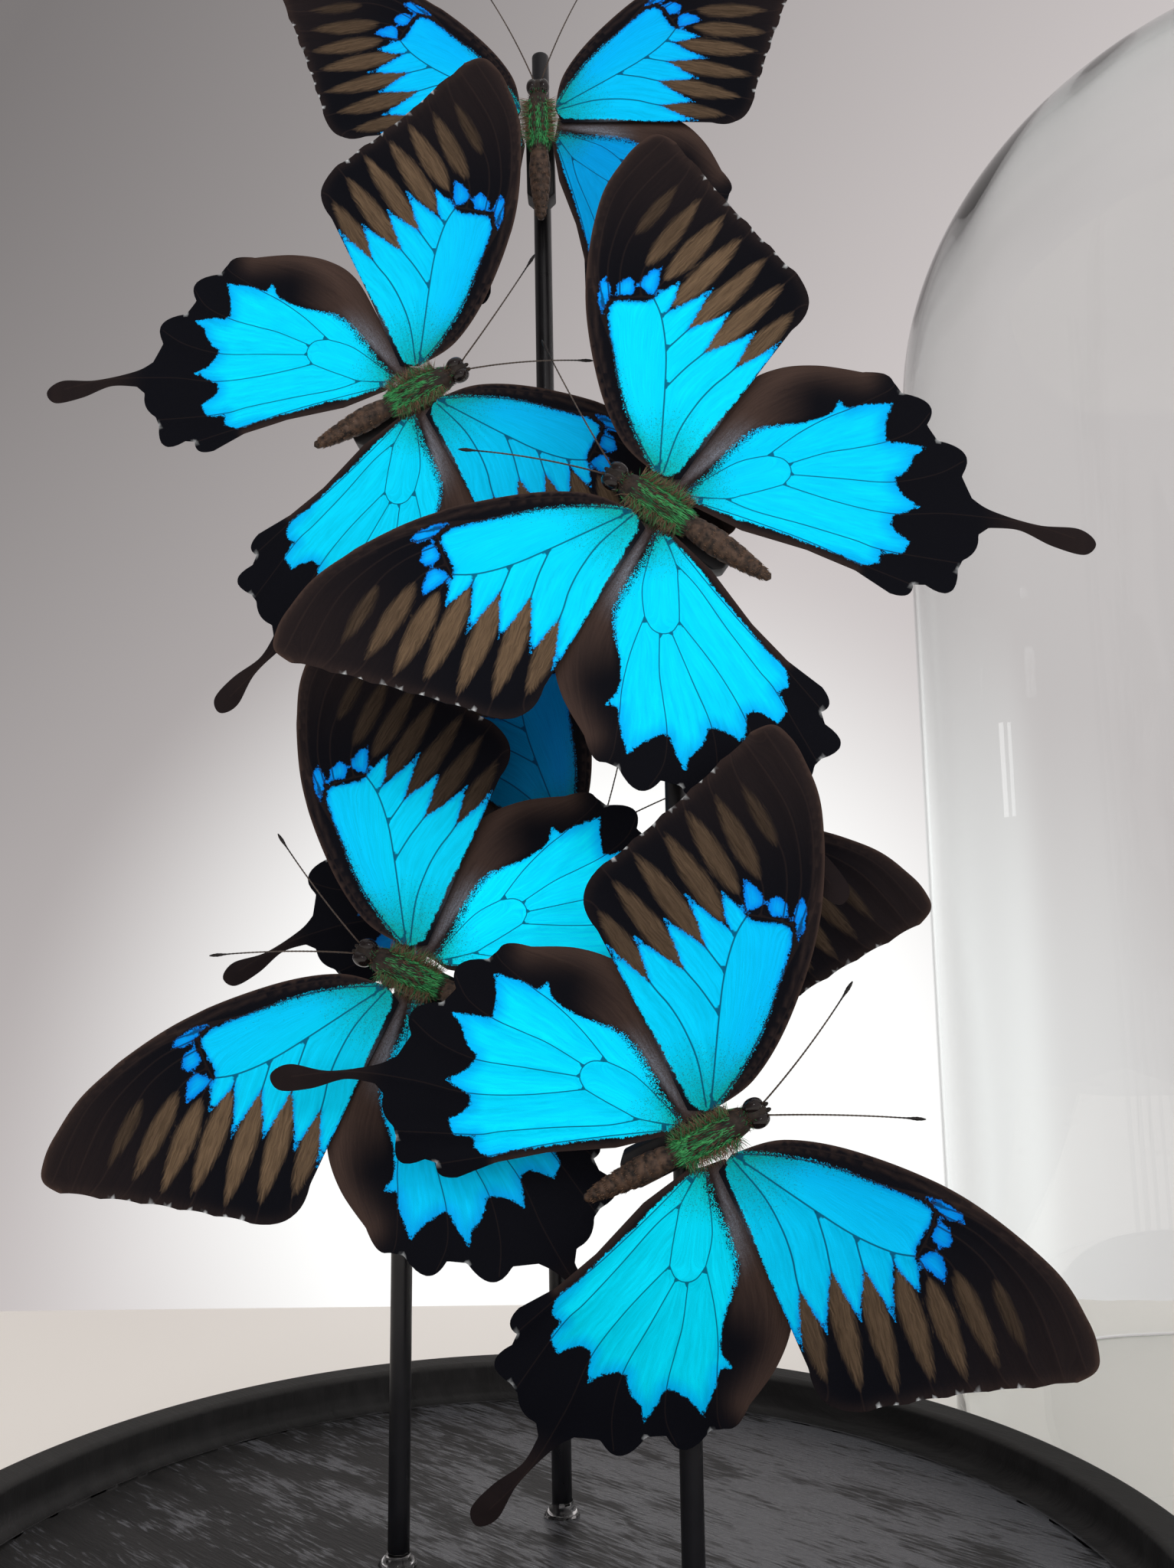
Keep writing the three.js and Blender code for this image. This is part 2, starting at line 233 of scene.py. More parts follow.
HIND_BLUE_TOP = [(0, 0.02), (0.23, 0.235), (0.4, 0.277), (0.5, 0.33), (0.7, 0.36)]
HIND_SOFT = [(0.0, 0.0), *HIND_BLUE[0][1:6], *HIND_BLUE[0][7:9]]


# ------------------------------------------------------------------ curves and meshes

def spline(points, steps):
    """A Catmull-Rom curve through the points, with its ends held."""
    p = [np.array(q, float) for q in (points[0], *points, points[-1])]
    out = []
    for a, b, c, d in zip(p, p[1:], p[2:], p[3:]):
        for i in range(steps):
            t = i / steps
            v0, v1 = (c - a) / 2, (d - b) / 2
            cubic, square = 2 * b - 2 * c + v0 + v1, -3 * b + 3 * c - 2 * v0 - v1
            out.append(cubic * t**3 + square * t**2 + v0 * t + b)
    out.append(p[-1])
    return out


def bow(start, middle, end, steps):
    """A quadratic curve from start to end, without its first point."""
    a, m, b = (np.array(p, float) for p in (start, middle, end))
    ts = np.arange(1, steps + 1) / steps
    return [a * (1 - t) ** 2 + 2 * m * t * (1 - t) + b * t * t for t in ts]


def scalloped(start, ends, depth, steps=8):
    """A margin that dips inwards by depth between the vein ends."""
    out, here = [], np.array(start, float)
    for end in ends:
        there = np.array(end, float)
        along = there - here
        inward = np.array([along[1], -along[0]]) / np.hypot(*along) * depth
        out += bow(here, (here + there) / 2 + inward, there, steps)
        here = there
    return out


def fore_outline():
    line = spline(FORE_FRONT, 12)
    line += scalloped(line[-1], FORE_ENDS, 0.010)
    line += bow(line[-1], *FORE_CORNER, 10)
    return np.array(line + [np.array(p) for p in FORE_REAR])


def lobed(rows, steps=8):
    """Rounded lobes, each from its notch over its bulge to the next notch."""
    lobes = [[np.array(row[0], float), *bow(*row, steps)] for row in rows]
    return [p for lobe in lobes for p in lobe]


def hind_outline():
    line = [np.zeros(2)] + spline(HIND_FRONT, 12) + lobed(HIND_UPPER)
    line += spline(HIND_TAIL, 10) + lobed(HIND_LOWER)
    return np.array(line + [np.array(p) for p in HIND_REAR])


def resampled(points, step):
    """The same line with points about a step apart."""
    points = np.array(points, float)
    length = np.hypot(*np.diff(points, axis=0).T)
    at = np.concatenate([[0], np.cumsum(length)])
    count = max(2, int(round(at[-1] / step)) + 1)
    wanted = np.linspace(0, at[-1], count)
    return np.stack([np.interp(wanted, at, points[:, i]) for i in range(2)], 1)


def line_distance(points, line):
    """How far each point is from a line through several points."""
    a, b = line[:-1], line[1:]
    along = b - a
    t = ((points[:, None] - a) * along).sum(2) / np.maximum((along**2).sum(1), 1e-12)
    nearest = a + np.clip(t, 0, 1)[..., None] * along
    return np.sqrt(((points[:, None] - nearest) ** 2).sum(2)).min(1)


def inside(points, loop):
    a, b = loop, np.roll(loop, -1, 0)
    x, y = points[:, :1], points[:, 1:]
    crosses = (a[:, 1] > y) != (b[:, 1] > y)
    with np.errstate(divide="ignore", invalid="ignore"):
        at = (b[:, 0] - a[:, 0]) * (y - a[:, 1]) / (b[:, 1] - a[:, 1]) + a[:, 0]
    return (crosses & (x < at)).sum(1) % 2 == 1


def depth_in(points, loop):
    """Distance to a closed line, positive inside it."""
    closed = np.vstack([loop, loop[:1]])
    return line_distance(points, closed) * np.where(inside(points, loop), 1, -1)


def eased(low, high, x):
    t = np.clip((x - low) / (high - low), 0, 1)
    return t * t * (3 - 2 * t)


def fading(low, high, x):
    return 1 - eased(low, high, x)


def bell(x, width):
    return np.exp(-((x / width) ** 2))


def columns(*values):
    """Numbers, or arrays of them, as the columns of one array."""
    return np.stack(np.broadcast_arrays(*values), 1)


def lathe(profile, segments, wobble=None):
    """Points and faces turned about Z from (radius, height) pairs; radius 0 closes an end."""
    points, rings = [], []
    for radius, height in profile:
        if radius < 1e-9:
            rings.append([len(points)] * segments)
            points.append((0, 0, height))
            continue
        rings.append(list(range(len(points), len(points) + segments)))
        for i in range(segments):
            angle = 2 * math.pi * i / segments
            r = radius * (1 + (wobble(angle, height) if wobble else 0))
            points.append((r * math.cos(angle), r * math.sin(angle), height))
    faces = []
    for low, high in zip(rings, rings[1:]):
        for i in range(segments):
            j = (i + 1) % segments
            corners = [low[i], low[j], high[j], high[i]]
            face = [c for n, c in enumerate(corners) if c not in corners[:n]]
            if len(face) > 2:
                faces.append(face)
    return np.array(points, float), faces


def rounded(corners, radius, steps=4):
    """A (radius, height) profile whose inner corners are rounded off."""
    out = [corners[0]]
    for a, b, c in zip(corners, corners[1:], corners[2:]):
        a, b, c = (np.array(p, float) for p in (a, b, c))
        cut = min(radius, np.hypot(*(a - b)) / 2.1, np.hypot(*(c - b)) / 2.1)
        start = b + (a - b) / np.hypot(*(a - b)) * cut
        end = b + (c - b) / np.hypot(*(c - b)) * cut
        out += [tuple(start)] + [tuple(p) for p in bow(start, b, end, steps)]
    return out + [corners[-1]]


def tube(path, radii, sides=8):
    """A closed round tube along the path."""
    path = np.array(path, float)
    tangent = np.gradient(path, axis=0)
    tangent /= np.linalg.norm(tangent, axis=1)[:, None]
    across = np.cross(tangent, (0.31, 0.2, 0.93))
    across /= np.linalg.norm(across, axis=1)[:, None]
    other = np.cross(tangent, across)
    points, last = [], (len(path) - 1) * sides
    for p, u, v, r in zip(path, across, other, radii):
        for i in range(sides):
            angle = 2 * math.pi * i / sides
            points.append(p + r * (u * math.cos(angle) + v * math.sin(angle)))
    faces = [
        (k + i, k + (i + 1) % sides, k + sides + (i + 1) % sides, k + sides + i)
        for k in range(0, last, sides)
        for i in range(sides)
    ]
    faces += [tuple(range(sides))[::-1], tuple(range(last, last + sides))]
    return np.array(points), faces


def egg(centre, radii, rows=14, columns=22):
    """A closed ovoid along Y."""
    turns = [math.pi * k / rows for k in range(1, rows)]
    profile = [(0, -1), *((math.sin(a), -math.cos(a)) for a in turns), (0, 1)]
    points, faces = lathe(profile, columns)
    return points[:, [0, 2, 1]] * (1, 1, -1) * radii + np.array(centre), faces


def joined(parts):
    """Several (points, faces) as one, with each face's part number."""
    points, faces, numbers, start = [], [], [], 0
    for number, (p, f) in enumerate(parts):
        points.append(np.asarray(p, float))
        faces += [tuple(i + start for i in face) for face in f]
        numbers += [number] * len(f)
        start += len(p)
    return np.vstack(points), faces, numbers


def make_piece(name, points, faces, materials, stands_for, place=None):
    """A mesh object from millimetre points, riding on the frame in place of CAD nodes."""
    points = np.asarray(points, float)
    if place is not None:
        turn = np.array(place)
        points = points @ turn[:3, :3].T + turn[:3, 3]
    mesh = bpy.data.meshes.new(name)
    mesh.from_pydata((points * MM).tolist(), [], faces)
    for material in materials:
        mesh.materials.append(material)
    mesh.polygons.foreach_set("use_smooth", np.full(len(mesh.polygons), True))
    piece = bpy.data.objects.new(name, mesh)
    bpy.context.scene.collection.objects.link(piece)
    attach(piece, "root")
    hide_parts(*stands_for)
    return piece


def face_outwards(piece):
    """Turns the faces of closed shells outwards."""
    shell = bmesh.new()
    shell.from_mesh(piece.data)
    bmesh.ops.recalc_face_normals(shell, faces=shell.faces)
    shell.to_mesh(piece.data)
    shell.free()


def give(piece, name, values, kind="FLOAT"):
    """Stores one value, or one vector, for each point of the piece."""
    layer = piece.data.attributes.new(name, kind, "POINT")
    key = "value" if kind == "FLOAT" else "vector"
    layer.data.foreach_set(key, np.asarray(values, np.float32).ravel())


def crease(piece, sharp):
    """Keeps the edges between the given pairs of points crisp in smooth shading."""
    mesh = piece.data
    pairs = np.zeros(len(mesh.edges) * 2, np.int64)
    mesh.edges.foreach_get("vertices", pairs)
    pairs = np.sort(pairs.reshape(-1, 2), 1)
    wanted = np.sort(np.asarray(sharp), 1)
    size = len(mesh.vertices)
    mask = np.isin(pairs[:, 0] * size + pairs[:, 1], wanted[:, 0] * size + wanted[:, 1])
    layer = mesh.attributes.new("sharp_edge", "BOOLEAN", "EDGE")
    layer.data.foreach_set("value", mask)


# -------------------------------------------------------------------------- materials

# Small fixed colours that no setting changes.
BLUE_VEIN = (0.002, 0.03, 0.09)
FRINGE_WHITE = (0.75, 0.78, 0.80)
EYE_COLOURS = [(0.0, (0.014, 0.008, 0.007)), (0.6, (0.005, 0.003, 0.003))]
FEELER_COLOURS = [
    (0.0, (0.045, 0.03, 0.022)), (0.7, (0.06, 0.045, 0.036)), (0.86, (0.008, 0.006, 0.006)),
]
CLEAR_PASSING = (0.995, 1, 0.997, 1)


def is_socket(value):
    return isinstance(value, bpy.types.NodeSocket)


class Nodes:
    """A node tree, with short ways to add nodes to it and join them up."""

    def __init__(self, tree):
        self.tree = tree

    def put(self, sockets, values):
        """Gives each socket its value, or joins it to another node's socket."""
        for key, value in values.items():
            if is_socket(value):
                self.tree.links.new(value, sockets[key])
            else:
                sockets[key].default_value = value

    def add(self, kind, values=None, **settings):
        made = self.tree.nodes.new("ShaderNode" + kind)
        for key, value in settings.items():
            setattr(made, key, value)
        self.put(made.inputs, values or {})
        return made

    def maths(self, operation, a, b, clamp=False):
        return self.add("Math", {0: a, 1: b}, operation=operation, use_clamp=clamp).outputs[0]

    def plus(self, a, b):
        return self.maths("ADD", a, b)

    def times(self, a, b, clamp=False):
        return self.maths("MULTIPLY", a, b, clamp)

    def centred(self, value):
        return self.maths("SUBTRACT", value, 0.5)

    def spread(self, value, low, high, to_low=0.0, to_high=1.0):
        """Moves the range low to high to another range, and holds it at the ends."""
        return self.add("MapRange", {0: value, 1: low, 2: high, 3: to_low, 4: to_high}).outputs[0]

    def mix(self, factor, first, second, mode="MIX"):
        first, second = (c if is_socket(c) else (*c[:3], 1) for c in (first, second))
        values = {0: factor, 6: first, 7: second}
        return self.add("Mix", values, data_type="RGBA", blend_type=mode).outputs[2]

    def grey(self, level):
        return self.add("CombineColor", {i: level for i in range(3)}).outputs[0]

    def shaded(self, colour, level):
        """The colour, darker where the level is under 1 and lighter where it is over 1."""
        return self.mix(1.0, colour, self.grey(level), "MULTIPLY")

    def ramp(self, value, stops):
        made = self.add("ValToRGB", {0: value})
        scale = made.color_ramp
        while len(scale.elements) < len(stops):
            scale.elements.new(0.5)
        for element, (position, colour) in zip(scale.elements, stops):
            element.position = position
            element.color = (*colour[:3], 1)
        return made.outputs[0]

    def stored(self, name, output="Fac"):
        return self.add("Attribute", attribute_name=name).outputs[output]

    def place(self, stretch=(1, 1, 1), turn=0.0):
        """The piece's own coordinates in metres, turned about Z and then stretched."""
        own = self.add("TexCoord").outputs["Object"]
        scale = tuple(1 / s for s in stretch)
        values = {"Vector": own, "Scale": scale, "Rotation": (0, 0, turn)}
        return self.add("Mapping", values, vector_type="TEXTURE").outputs[0]

    def noise(self, place, scale, detail=3.0, roughness=0.5, distortion=0.0):
        values = {"Vector": place, "Scale": scale, "Detail": detail}
        values |= {"Roughness": roughness, "Distortion": distortion}
        return self.add("TexNoise", values).outputs[0]

    def bump(self, strength, distance, height, **settings):
        values = {"Strength": strength, "Distance": distance, "Height": height}
        return self.add("Bump", values, **settings).outputs[0]

    def effect(self, name, **values):
        """One of the shared effects; returns its outputs in order."""
        return self.add("Group", values, node_tree=effect_group(name)).outputs[:]


class Finish(Nodes):
    """A new material, with plain values on its Principled shader."""

    def __init__(self, name, **constants):
        self.material = bpy.data.materials.new(name)
        self.material.use_nodes = True
        super().__init__(self.material.node_tree)
        self.tree.nodes.clear()
        self.shader = self.add("BsdfPrincipled")
        self.output = self.add("OutputMaterial", {"Surface": self.shader.outputs[0]})
        self.surface(**constants)

    def surface(self, **values):
        """Sets or joins the shader's sockets, and returns the material."""
        named = {key.replace("_", " "): value for key, value in values.items()}
        self.put(self.shader.inputs, named)
        return self.material


def scale_dust(look, place, depth, spread, specks):
    """Single wing scales: a mask whose edge breaks up into separate specks."""
    cells = look.add("TexVoronoi", {"Vector": place, "Scale": specks}).outputs["Color"]
    chance = look.add("SeparateColor", {0: cells}).outputs[0]
    waver = look.spread(look.noise(place, 1.1, 4.0, 0.6), 0.3, 0.7, -0.22, 0.22)
    edge = look.plus(look.plus(depth, waver), look.times(look.centred(chance), spread))
    return look.spread(edge, -0.07, 0.07), chance


def fine_streaks(look, grain, fineness, low, high):
    """Fine lines along a grain, for wing scales in rows and for brushed wood."""
    fine = look.noise(grain, fineness, 5.0, 0.65)
    return look.spread(fine, 0.32, 0.68, low, high), fine


def uneven_gloss(look, place, scale, low, high):
    """Soft uneven gloss from handling and dust on a smooth surface."""
    cloud = look.noise(place, scale, 5.0, 0.6)
    return look.spread(cloud, 0.3, 0.7, low, high), cloud


# Each shared effect: its maker, its inputs with their defaults and its outputs. The
# first input is a place and the others are numbers.
EFFECTS = {
    "scale_dust": (
        scale_dust, {"Place": None, "Depth": 0.0, "Spread": 0.3, "Specks": 5.0}, ("Mask", "Chance"),
    ),
    "fine_streaks": (
        fine_streaks, {"Grain": None, "Fineness": 1.0, "Low": 0.8, "High": 1.1},
        ("Shade", "Relief"),
    ),
    "uneven_gloss": (
        uneven_gloss, {"Place": None, "Scale": 60.0, "Low": 0.3, "High": 0.45}, ("Gloss", "Cloud"),
    ),
}


def effect_group(name):
    """The node group of a shared effect, made when it is first asked for."""
    if name in bpy.data.node_groups:
        return bpy.data.node_groups[name]
    maker, inputs, outputs = EFFECTS[name]
    group = bpy.data.node_groups.new(name, "ShaderNodeTree")
    for label, default in inputs.items():
        kind = "NodeSocketVector" if default is None else "NodeSocketFloat"
        socket = group.interface.new_socket(name=label, in_out="INPUT", socket_type=kind)
        if default is not None:
            socket.default_value = default
    for label in outputs:
        group.interface.new_socket(name=label, in_out="OUTPUT", socket_type="NodeSocketFloat")
    start, end = group.nodes.new("NodeGroupInput"), group.nodes.new("NodeGroupOutput")
    look = Nodes(group)
    made = maker(look, *start.outputs[: len(inputs)])
    look.put(end.inputs, dict(zip(outputs, made)))
    return group


def wing_top_finish(wings):
    """Blue structural scales with crisp teeth over black, woolly streaks and brown edges."""
    look = Finish("wing_top", Specular_IOR_Level=0.05, IOR=1.45)
    value = {name: look.stored(name) for name in WING_VALUES}
    place, grain = look.stored("place", "Vector"), look.stored("grain", "Vector")
    blue_mask, chance = look.effect(
        "scale_dust", Place=place, Depth=value["zone"], Spread=value["spread"], Specks=8.0
    )

    # The blue, deeper at its rim and greener at the root, in fine rows of scales, and made darker
    # or lighter for each wing as painted light and shade.
    blue = look.ramp(value["hue"], [(0.0, wings.azure), (0.5, wings.cyan), (1.0, wings.teal)])
    blue = look.mix(value["deep"], blue, wings.royal)
    blue = look.mix(look.times(value["bloom"], 0.85), blue, wings.root)
    shade, relief = look.effect("fine_streaks", Grain=grain, Fineness=2.4, Low=0.84, High=1.08)
    blue = look.shaded(blue, look.times(shade, value["painted_light_level"]))
    fleck = look.maths("LESS_THAN", chance, look.times(value["bloom"], 0.42))
    blue = look.mix(look.times(fleck, 0.5), blue, wings.gold)

    # The dark ground, browner where the scales are worn, with woolly streaks.
    worn = look.times(value["brown"], look.spread(relief, 0.3, 0.7, 0.7, 1.15), True)
    ground = look.mix(worn, wings.black, wings.brown)
    tuft_shade, tufts = look.effect("fine_streaks", Grain=grain, Fineness=4.5, Low=0.55, High=1.25)
    ragged = look.plus(value["streak"], look.spread(tufts, 0.3, 0.7, -0.35, 0.2))
    wool_mask = look.spread(ragged, -0.15, 0.75)
    wool = look.shaded(look.mix(value["wool"], wings.dark_wool, wings.wool), tuft_shade)
    ground = look.mix(wool_mask, ground, wool)
    pale = look.times(value["lilac"], look.spread(relief, 0.3, 0.7, 0.5, 1.25), True)
    pale = look.times(pale, look.spread(chance, 0.1, 0.9, 1.0, 0.35))
    ground = look.mix(pale, ground, wings.lilac)

    colour = look.mix(blue_mask, ground, blue)
    vein_colour = look.mix(blue_mask, wings.brown, BLUE_VEIN)
    vein_line = look.spread(value["vein"], 0.08, 0.20, 0.85, 0.0)
    vein_share = look.times(vein_line, look.spread(blue_mask, 0.0, 1.0, 0.16, 1.0))
    colour = look.mix(vein_share, colour, vein_colour)
    colour = look.mix(value["fringe"], colour, FRINGE_WHITE)
    tiles = look.add("TexVoronoi", {"Vector": place, "Scale": 6.5}).outputs["Distance"]
    height = look.plus(look.times(tiles, 0.5), look.times(wool_mask, tufts))
    return look.surface(
        Base_Color=colour,
        Roughness=look.spread(blue_mask, 0.0, 1.0, 0.68, 0.44),
        Metallic=look.spread(blue_mask, 0.0, 1.0, 0.0, 0.18),
        Normal=look.bump(0.3, 0.00008, height),
    )


def wing_under_finish(wings):
    """The muted brown underside, with paler rays between the veins near the margin."""
    look = Finish("wing_underside", Specular_IOR_Level=0.2, IOR=1.45)
    place, grain = look.stored("place", "Vector"), look.stored("grain", "Vector")
    shade, relief = look.effect("fine_streaks", Grain=grain, Fineness=3.2, Low=0.55, High=1.2)
    depth = look.centred(look.stored("ray"))
    rays, _ = look.effect("scale_dust", Place=place, Depth=depth, Spread=0.9, Specks=4.6)
    colour = look.mix(rays, wings.under, wings.under_pale)
    colour = look.mix(look.stored("crescent"), colour, wings.crescent)
    colour = look.shaded(colour, shade)
    vein_line = look.spread(look.stored("vein"), 0.10, 0.26, 0.8, 0.0)
    return look.surface(
        Base_Color=look.mix(vein_line, colour, wings.black),
        Roughness=look.spread(relief, 0.3, 0.7, 0.5, 0.7),
        Normal=look.bump(0.3, 0.00008, relief),
    )


def cuticle_finish(bodies):
    """The dark body wall between the hairs."""
    look = Finish("insect_cuticle", Specular_IOR_Level=0.35)
    gloss, cloud = look.effect("uneven_gloss", Place=look.place(), Scale=900.0, Low=0.4, High=0.7)
    colour = look.mix(look.stored("tone"), bodies.dark, bodies.brown)
    return look.surface(
        Base_Color=look.mix(look.spread(cloud, 0.35, 0.65), colour, bodies.dark),
        Roughness=gloss,
        Normal=look.bump(0.5, 0.0001, cloud),
    )


def hair_finish(bodies):
    """Body hair from dark brown to metallic green, by each hair's own tone."""
    look = Finish("insect_hair", Specular_IOR_Level=0.4)
    tone = look.stored("tone")
    colours = (bodies.dark, bodies.brown, bodies.tan, bodies.green, bodies.bright_green)
    return look.surface(
        Base_Color=look.ramp(tone, list(zip((0.0, 0.22, 0.45, 0.6, 1.0), colours))),
        Metallic=look.spread(tone, 0.5, 0.65, 0.0, 0.3),
        Roughness=look.spread(tone, 0.0, 1.0, 0.55, 0.33),
    )


def eye_finish():
    """Faceted dark eyes with a wet glint."""
    look = Finish("insect_eye", Coat_Weight=0.25, Coat_Roughness=0.10, Specular_IOR_Level=0.35)
    place = look.place()
    facets = look.add("TexVoronoi", {"Vector": place, "Scale": 6500.0}).outputs["Distance"]
    gloss, _ = look.effect("uneven_gloss", Place=place, Scale=2000.0, Low=0.10, High=0.20)
    return look.surface(
        Base_Color=look.ramp(facets, EYE_COLOURS),
        Roughness=gloss,
        Normal=look.bump(0.12, 0.00002, facets, invert=True),
    )


def horn_finish():
    """Thin dark feelers, browner along the shaft and black at the club."""
    look = Finish("insect_feeler", Specular_IOR_Level=0.4)
    mottle = look.noise(look.place(), 1500.0)
    colour = look.ramp(look.stored("along"), FEELER_COLOURS)
    return look.surface(
        Base_Color=look.shaded(colour, look.spread(mottle, 0.3, 0.7, 0.6, 1.2)),
        Roughness=look.spread(mottle, 0.3, 0.7, 0.35, 0.6),
    )


def wood_finish(base):
    """Black-stained wood: rubbed strokes of open grain on the floor, painted pale both as real
    scuffs and as a painted sheen, plainer on the rim.
    """
    look = Finish("stained_wood", Specular_IOR_Level=0.35)
    turn = base.grain_turn
    strokes = look.noise(look.place((170, 1500, 60), turn), 1.0, 4.0, 0.62, 0.2)
    patches = look.noise(look.place((34, 120, 20), turn), 1.0, 4.0, 0.6, 0.5)
    # The rubbed grain gets the pale worn colour. It is partly real scuffs of the stain and partly a
    # painted sheen, and there is more of it towards +X.
    level = look.plus(strokes, look.times(look.centred(patches), 1.1))
    aside = look.add("SeparateXYZ", {0: look.place()}).outputs["X"]
    level = look.plus(level, look.spread(aside, -0.08, 0.05, -0.14, 0.13))
    scuffs_and_sheen = look.times(look.spread(level, 0.44, 0.60), look.stored("floor"))
    grain = look.place((14, 160, 60), turn)
    streaks, relief = look.effect("fine_streaks", Grain=grain, Fineness=1.6, Low=0.0, High=1.0)
    rim = look.stored("rim")
    plain = look.mix(streaks, base.stain, base.middle)
    plain = look.mix(rim, plain, look.mix(look.times(streaks, 0.5), base.rim, base.middle))
    return look.surface(
        Base_Color=look.mix(scuffs_and_sheen, plain, base.worn),
        Roughness=look.plus(look.spread(scuffs_and_sheen, 0.0, 1.0, 0.48, 0.26), look.times(rim, 0.3)),
        Normal=look.bump(0.5, 0.0004, look.plus(look.times(relief, 0.4), strokes)),
    )


def black_finish(name, colour, low, high, scale):
    """A black satin coat with faint unevenness, for the rods and the blocks."""
    look = Finish(name, Specular_IOR_Level=0.5)
    gloss, cloud = look.effect("uneven_gloss", Place=look.place(), Scale=scale, Low=low, High=high)
    return look.surface(
        Base_Color=look.mix(cloud, colour, tuple(c * 1.9 for c in colour)),
        Roughness=gloss,
        Normal=look.bump(0.15, 0.0001, cloud),
    )


def clear_finish(name, tint, roughness, ior, density):
    """Clear glass or set glue; lamps shine through it, and its thickness tints it."""
    clear = {"Transmission_Weight": 1.0, "Base_Color": (1, 1, 1, 1)}
    look = Finish(name, Roughness=roughness, IOR=ior, **clear)
    shadow = look.add("LightPath").outputs["Is Shadow Ray"]
    passing = look.add("BsdfTransparent", {"Color": CLEAR_PASSING}).outputs[0]
    mixed = look.add("MixShader", {0: shadow, 1: look.shader.outputs[0], 2: passing}).outputs[0]
    absorbing = look.tree.nodes.new("ShaderNodeVolumeAbsorption")
    absorbing.inputs["Color"].default_value = (*tint[:3], 1)
    absorbing.inputs["Density"].default_value = density
    look.put(look.output.inputs, {"Surface": mixed, "Volume": absorbing.outputs[0]})
    return look.material


def table_finish(stage):
    """The pale satin floor."""
    look = Finish("pale_floor", Specular_IOR_Level=0.5)
    cloud = look.noise(look.place(), 3.0)
    return look.surface(
        Base_Color=look.mix(cloud, stage.floor, tuple(c * 0.96 for c in stage.floor)),
        Roughness=look.spread(cloud, 0.0, 1.0, 0.22, 0.36),
    )


# ------------------------------------------------------------------------------ wings

def wing_sheet(outline, lines, spacing, rng):
    """Triangles over a flat wing, with edges along its outline and the given lines."""
    closed = resampled(np.vstack([outline, outline[:1]]), spacing * 0.72)[:-1]
    points, edges = list(closed), [(i, (i + 1) % len(closed)) for i in range(len(closed))]
    kept = []
    for line in lines:
        fine = resampled(line, spacing * 0.8)
        fine = fine[depth_in(fine, closed) > 0.12]
        start = len(points)
        points += list(fine)
        edges += [(start + i, start + i + 1) for i in range(len(fine) - 1)]
        kept.append(fine)
    # Between the lines lie points in offset rows, each moved a little at random.
    low, high = closed.min(0), closed.max(0)
    xs = np.arange(low[0], high[0], spacing)
    ys = np.arange(low[1], high[1], spacing * 0.866)
    grid = np.array([(x + (spacing / 2 if j % 2 else 0), y) for j, y in enumerate(ys) for x in xs])
    grid = grid + rng.uniform(-0.12, 0.12, grid.shape) * spacing
    grid = grid[depth_in(grid, closed) > spacing * 0.45]
    near = np.min([line_distance(grid, line) for line in kept], 0)
    points += list(grid[near > spacing * 0.42])
    found = delaunay_2d_cdt([Vector(p) for p in points], edges, [], 0, 1e-5)
    flat = np.array([tuple(v) for v in found[0]])
    triangles = np.array([f for f in found[2] if len(f) == 3])
    middle = flat[triangles].mean(1)
    triangles = triangles[inside(middle, closed)]
    a, b, c = (flat[triangles[:, i]] for i in range(3))
    area = (b[:, 0] - a[:, 0]) * (c[:, 1] - a[:, 1]) - (b[:, 1] - a[:, 1]) * (c[:, 0] - a[:, 0])
    triangles, area = triangles[np.abs(area) > 1e-7], area[np.abs(area) > 1e-7]
    triangles[area < 0] = triangles[area < 0][:, ::-1]
    used = np.unique(triangles)
    index = np.zeros(len(flat), int)
    index[used] = np.arange(len(used))
    return flat[used], index[triangles], closed


def sides_of(triangles):
    return np.vstack([triangles[:, [0, 1]], triangles[:, [1, 2]], triangles[:, [2, 0]]])


def rim_edges(triangles, count):
    """The directed edges that only one triangle has."""
    pairs = sides_of(triangles)
    keys = pairs[:, 0] * count + pairs[:, 1]
    back = pairs[:, 1] * count + pairs[:, 0]
    return pairs[~np.isin(keys, back)]


def spindle(points, start, end, half):
    """How far inside a pointed streak each point lies."""
    a, b = np.array(start), np.array(end)
    length = np.hypot(*(b - a))
    along = (b - a) / length
    t = (points - a) @ along / length
    across = np.abs((points - a) @ np.array([along[1], -along[0]]))
    swell = np.sin(np.pi * np.clip(t, 0, 1) ** 0.82) ** 0.7 * half
    outside = np.maximum(np.maximum(-t, t - 1), 0) * length
    return swell - across - outside


EVENING_ROUNDS = 240


def flow_order(flat, triangles, lines, orders):
    """Each point's place in the order of the veins, evened out between them."""
    fixed = np.full(len(flat), np.nan)
    weight, total = np.zeros(len(flat)), np.zeros(len(flat))
    for line, order in zip(lines, orders):
        near = line_distance(flat, line)
        value = np.interp(flat[:, 0], *np.array(order).T)
        weight += 1 / (near + 0.05) ** 2
        total += value / (near + 0.05) ** 2
        fixed = np.where(near < 0.1, value, fixed)
    held = ~np.isnan(fixed)
    field = np.where(held, fixed, total / weight)
    pairs = np.unique(np.sort(sides_of(triangles), 1), axis=0)
    a, b = np.vstack([pairs, pairs[:, ::-1]]).T
    degree = np.bincount(a, minlength=len(flat))
    for _ in range(EVENING_ROUNDS):
        field = np.where(held, fixed, np.bincount(a, field[b], len(flat)) / degree)
    return field


WING_VALUES = (
    "vein", "zone", "spread", "bloom", "deep", "streak", "brown", "lilac", "fringe", "ray",
    "crescent", "hue", "wool", "painted_light_level",
)

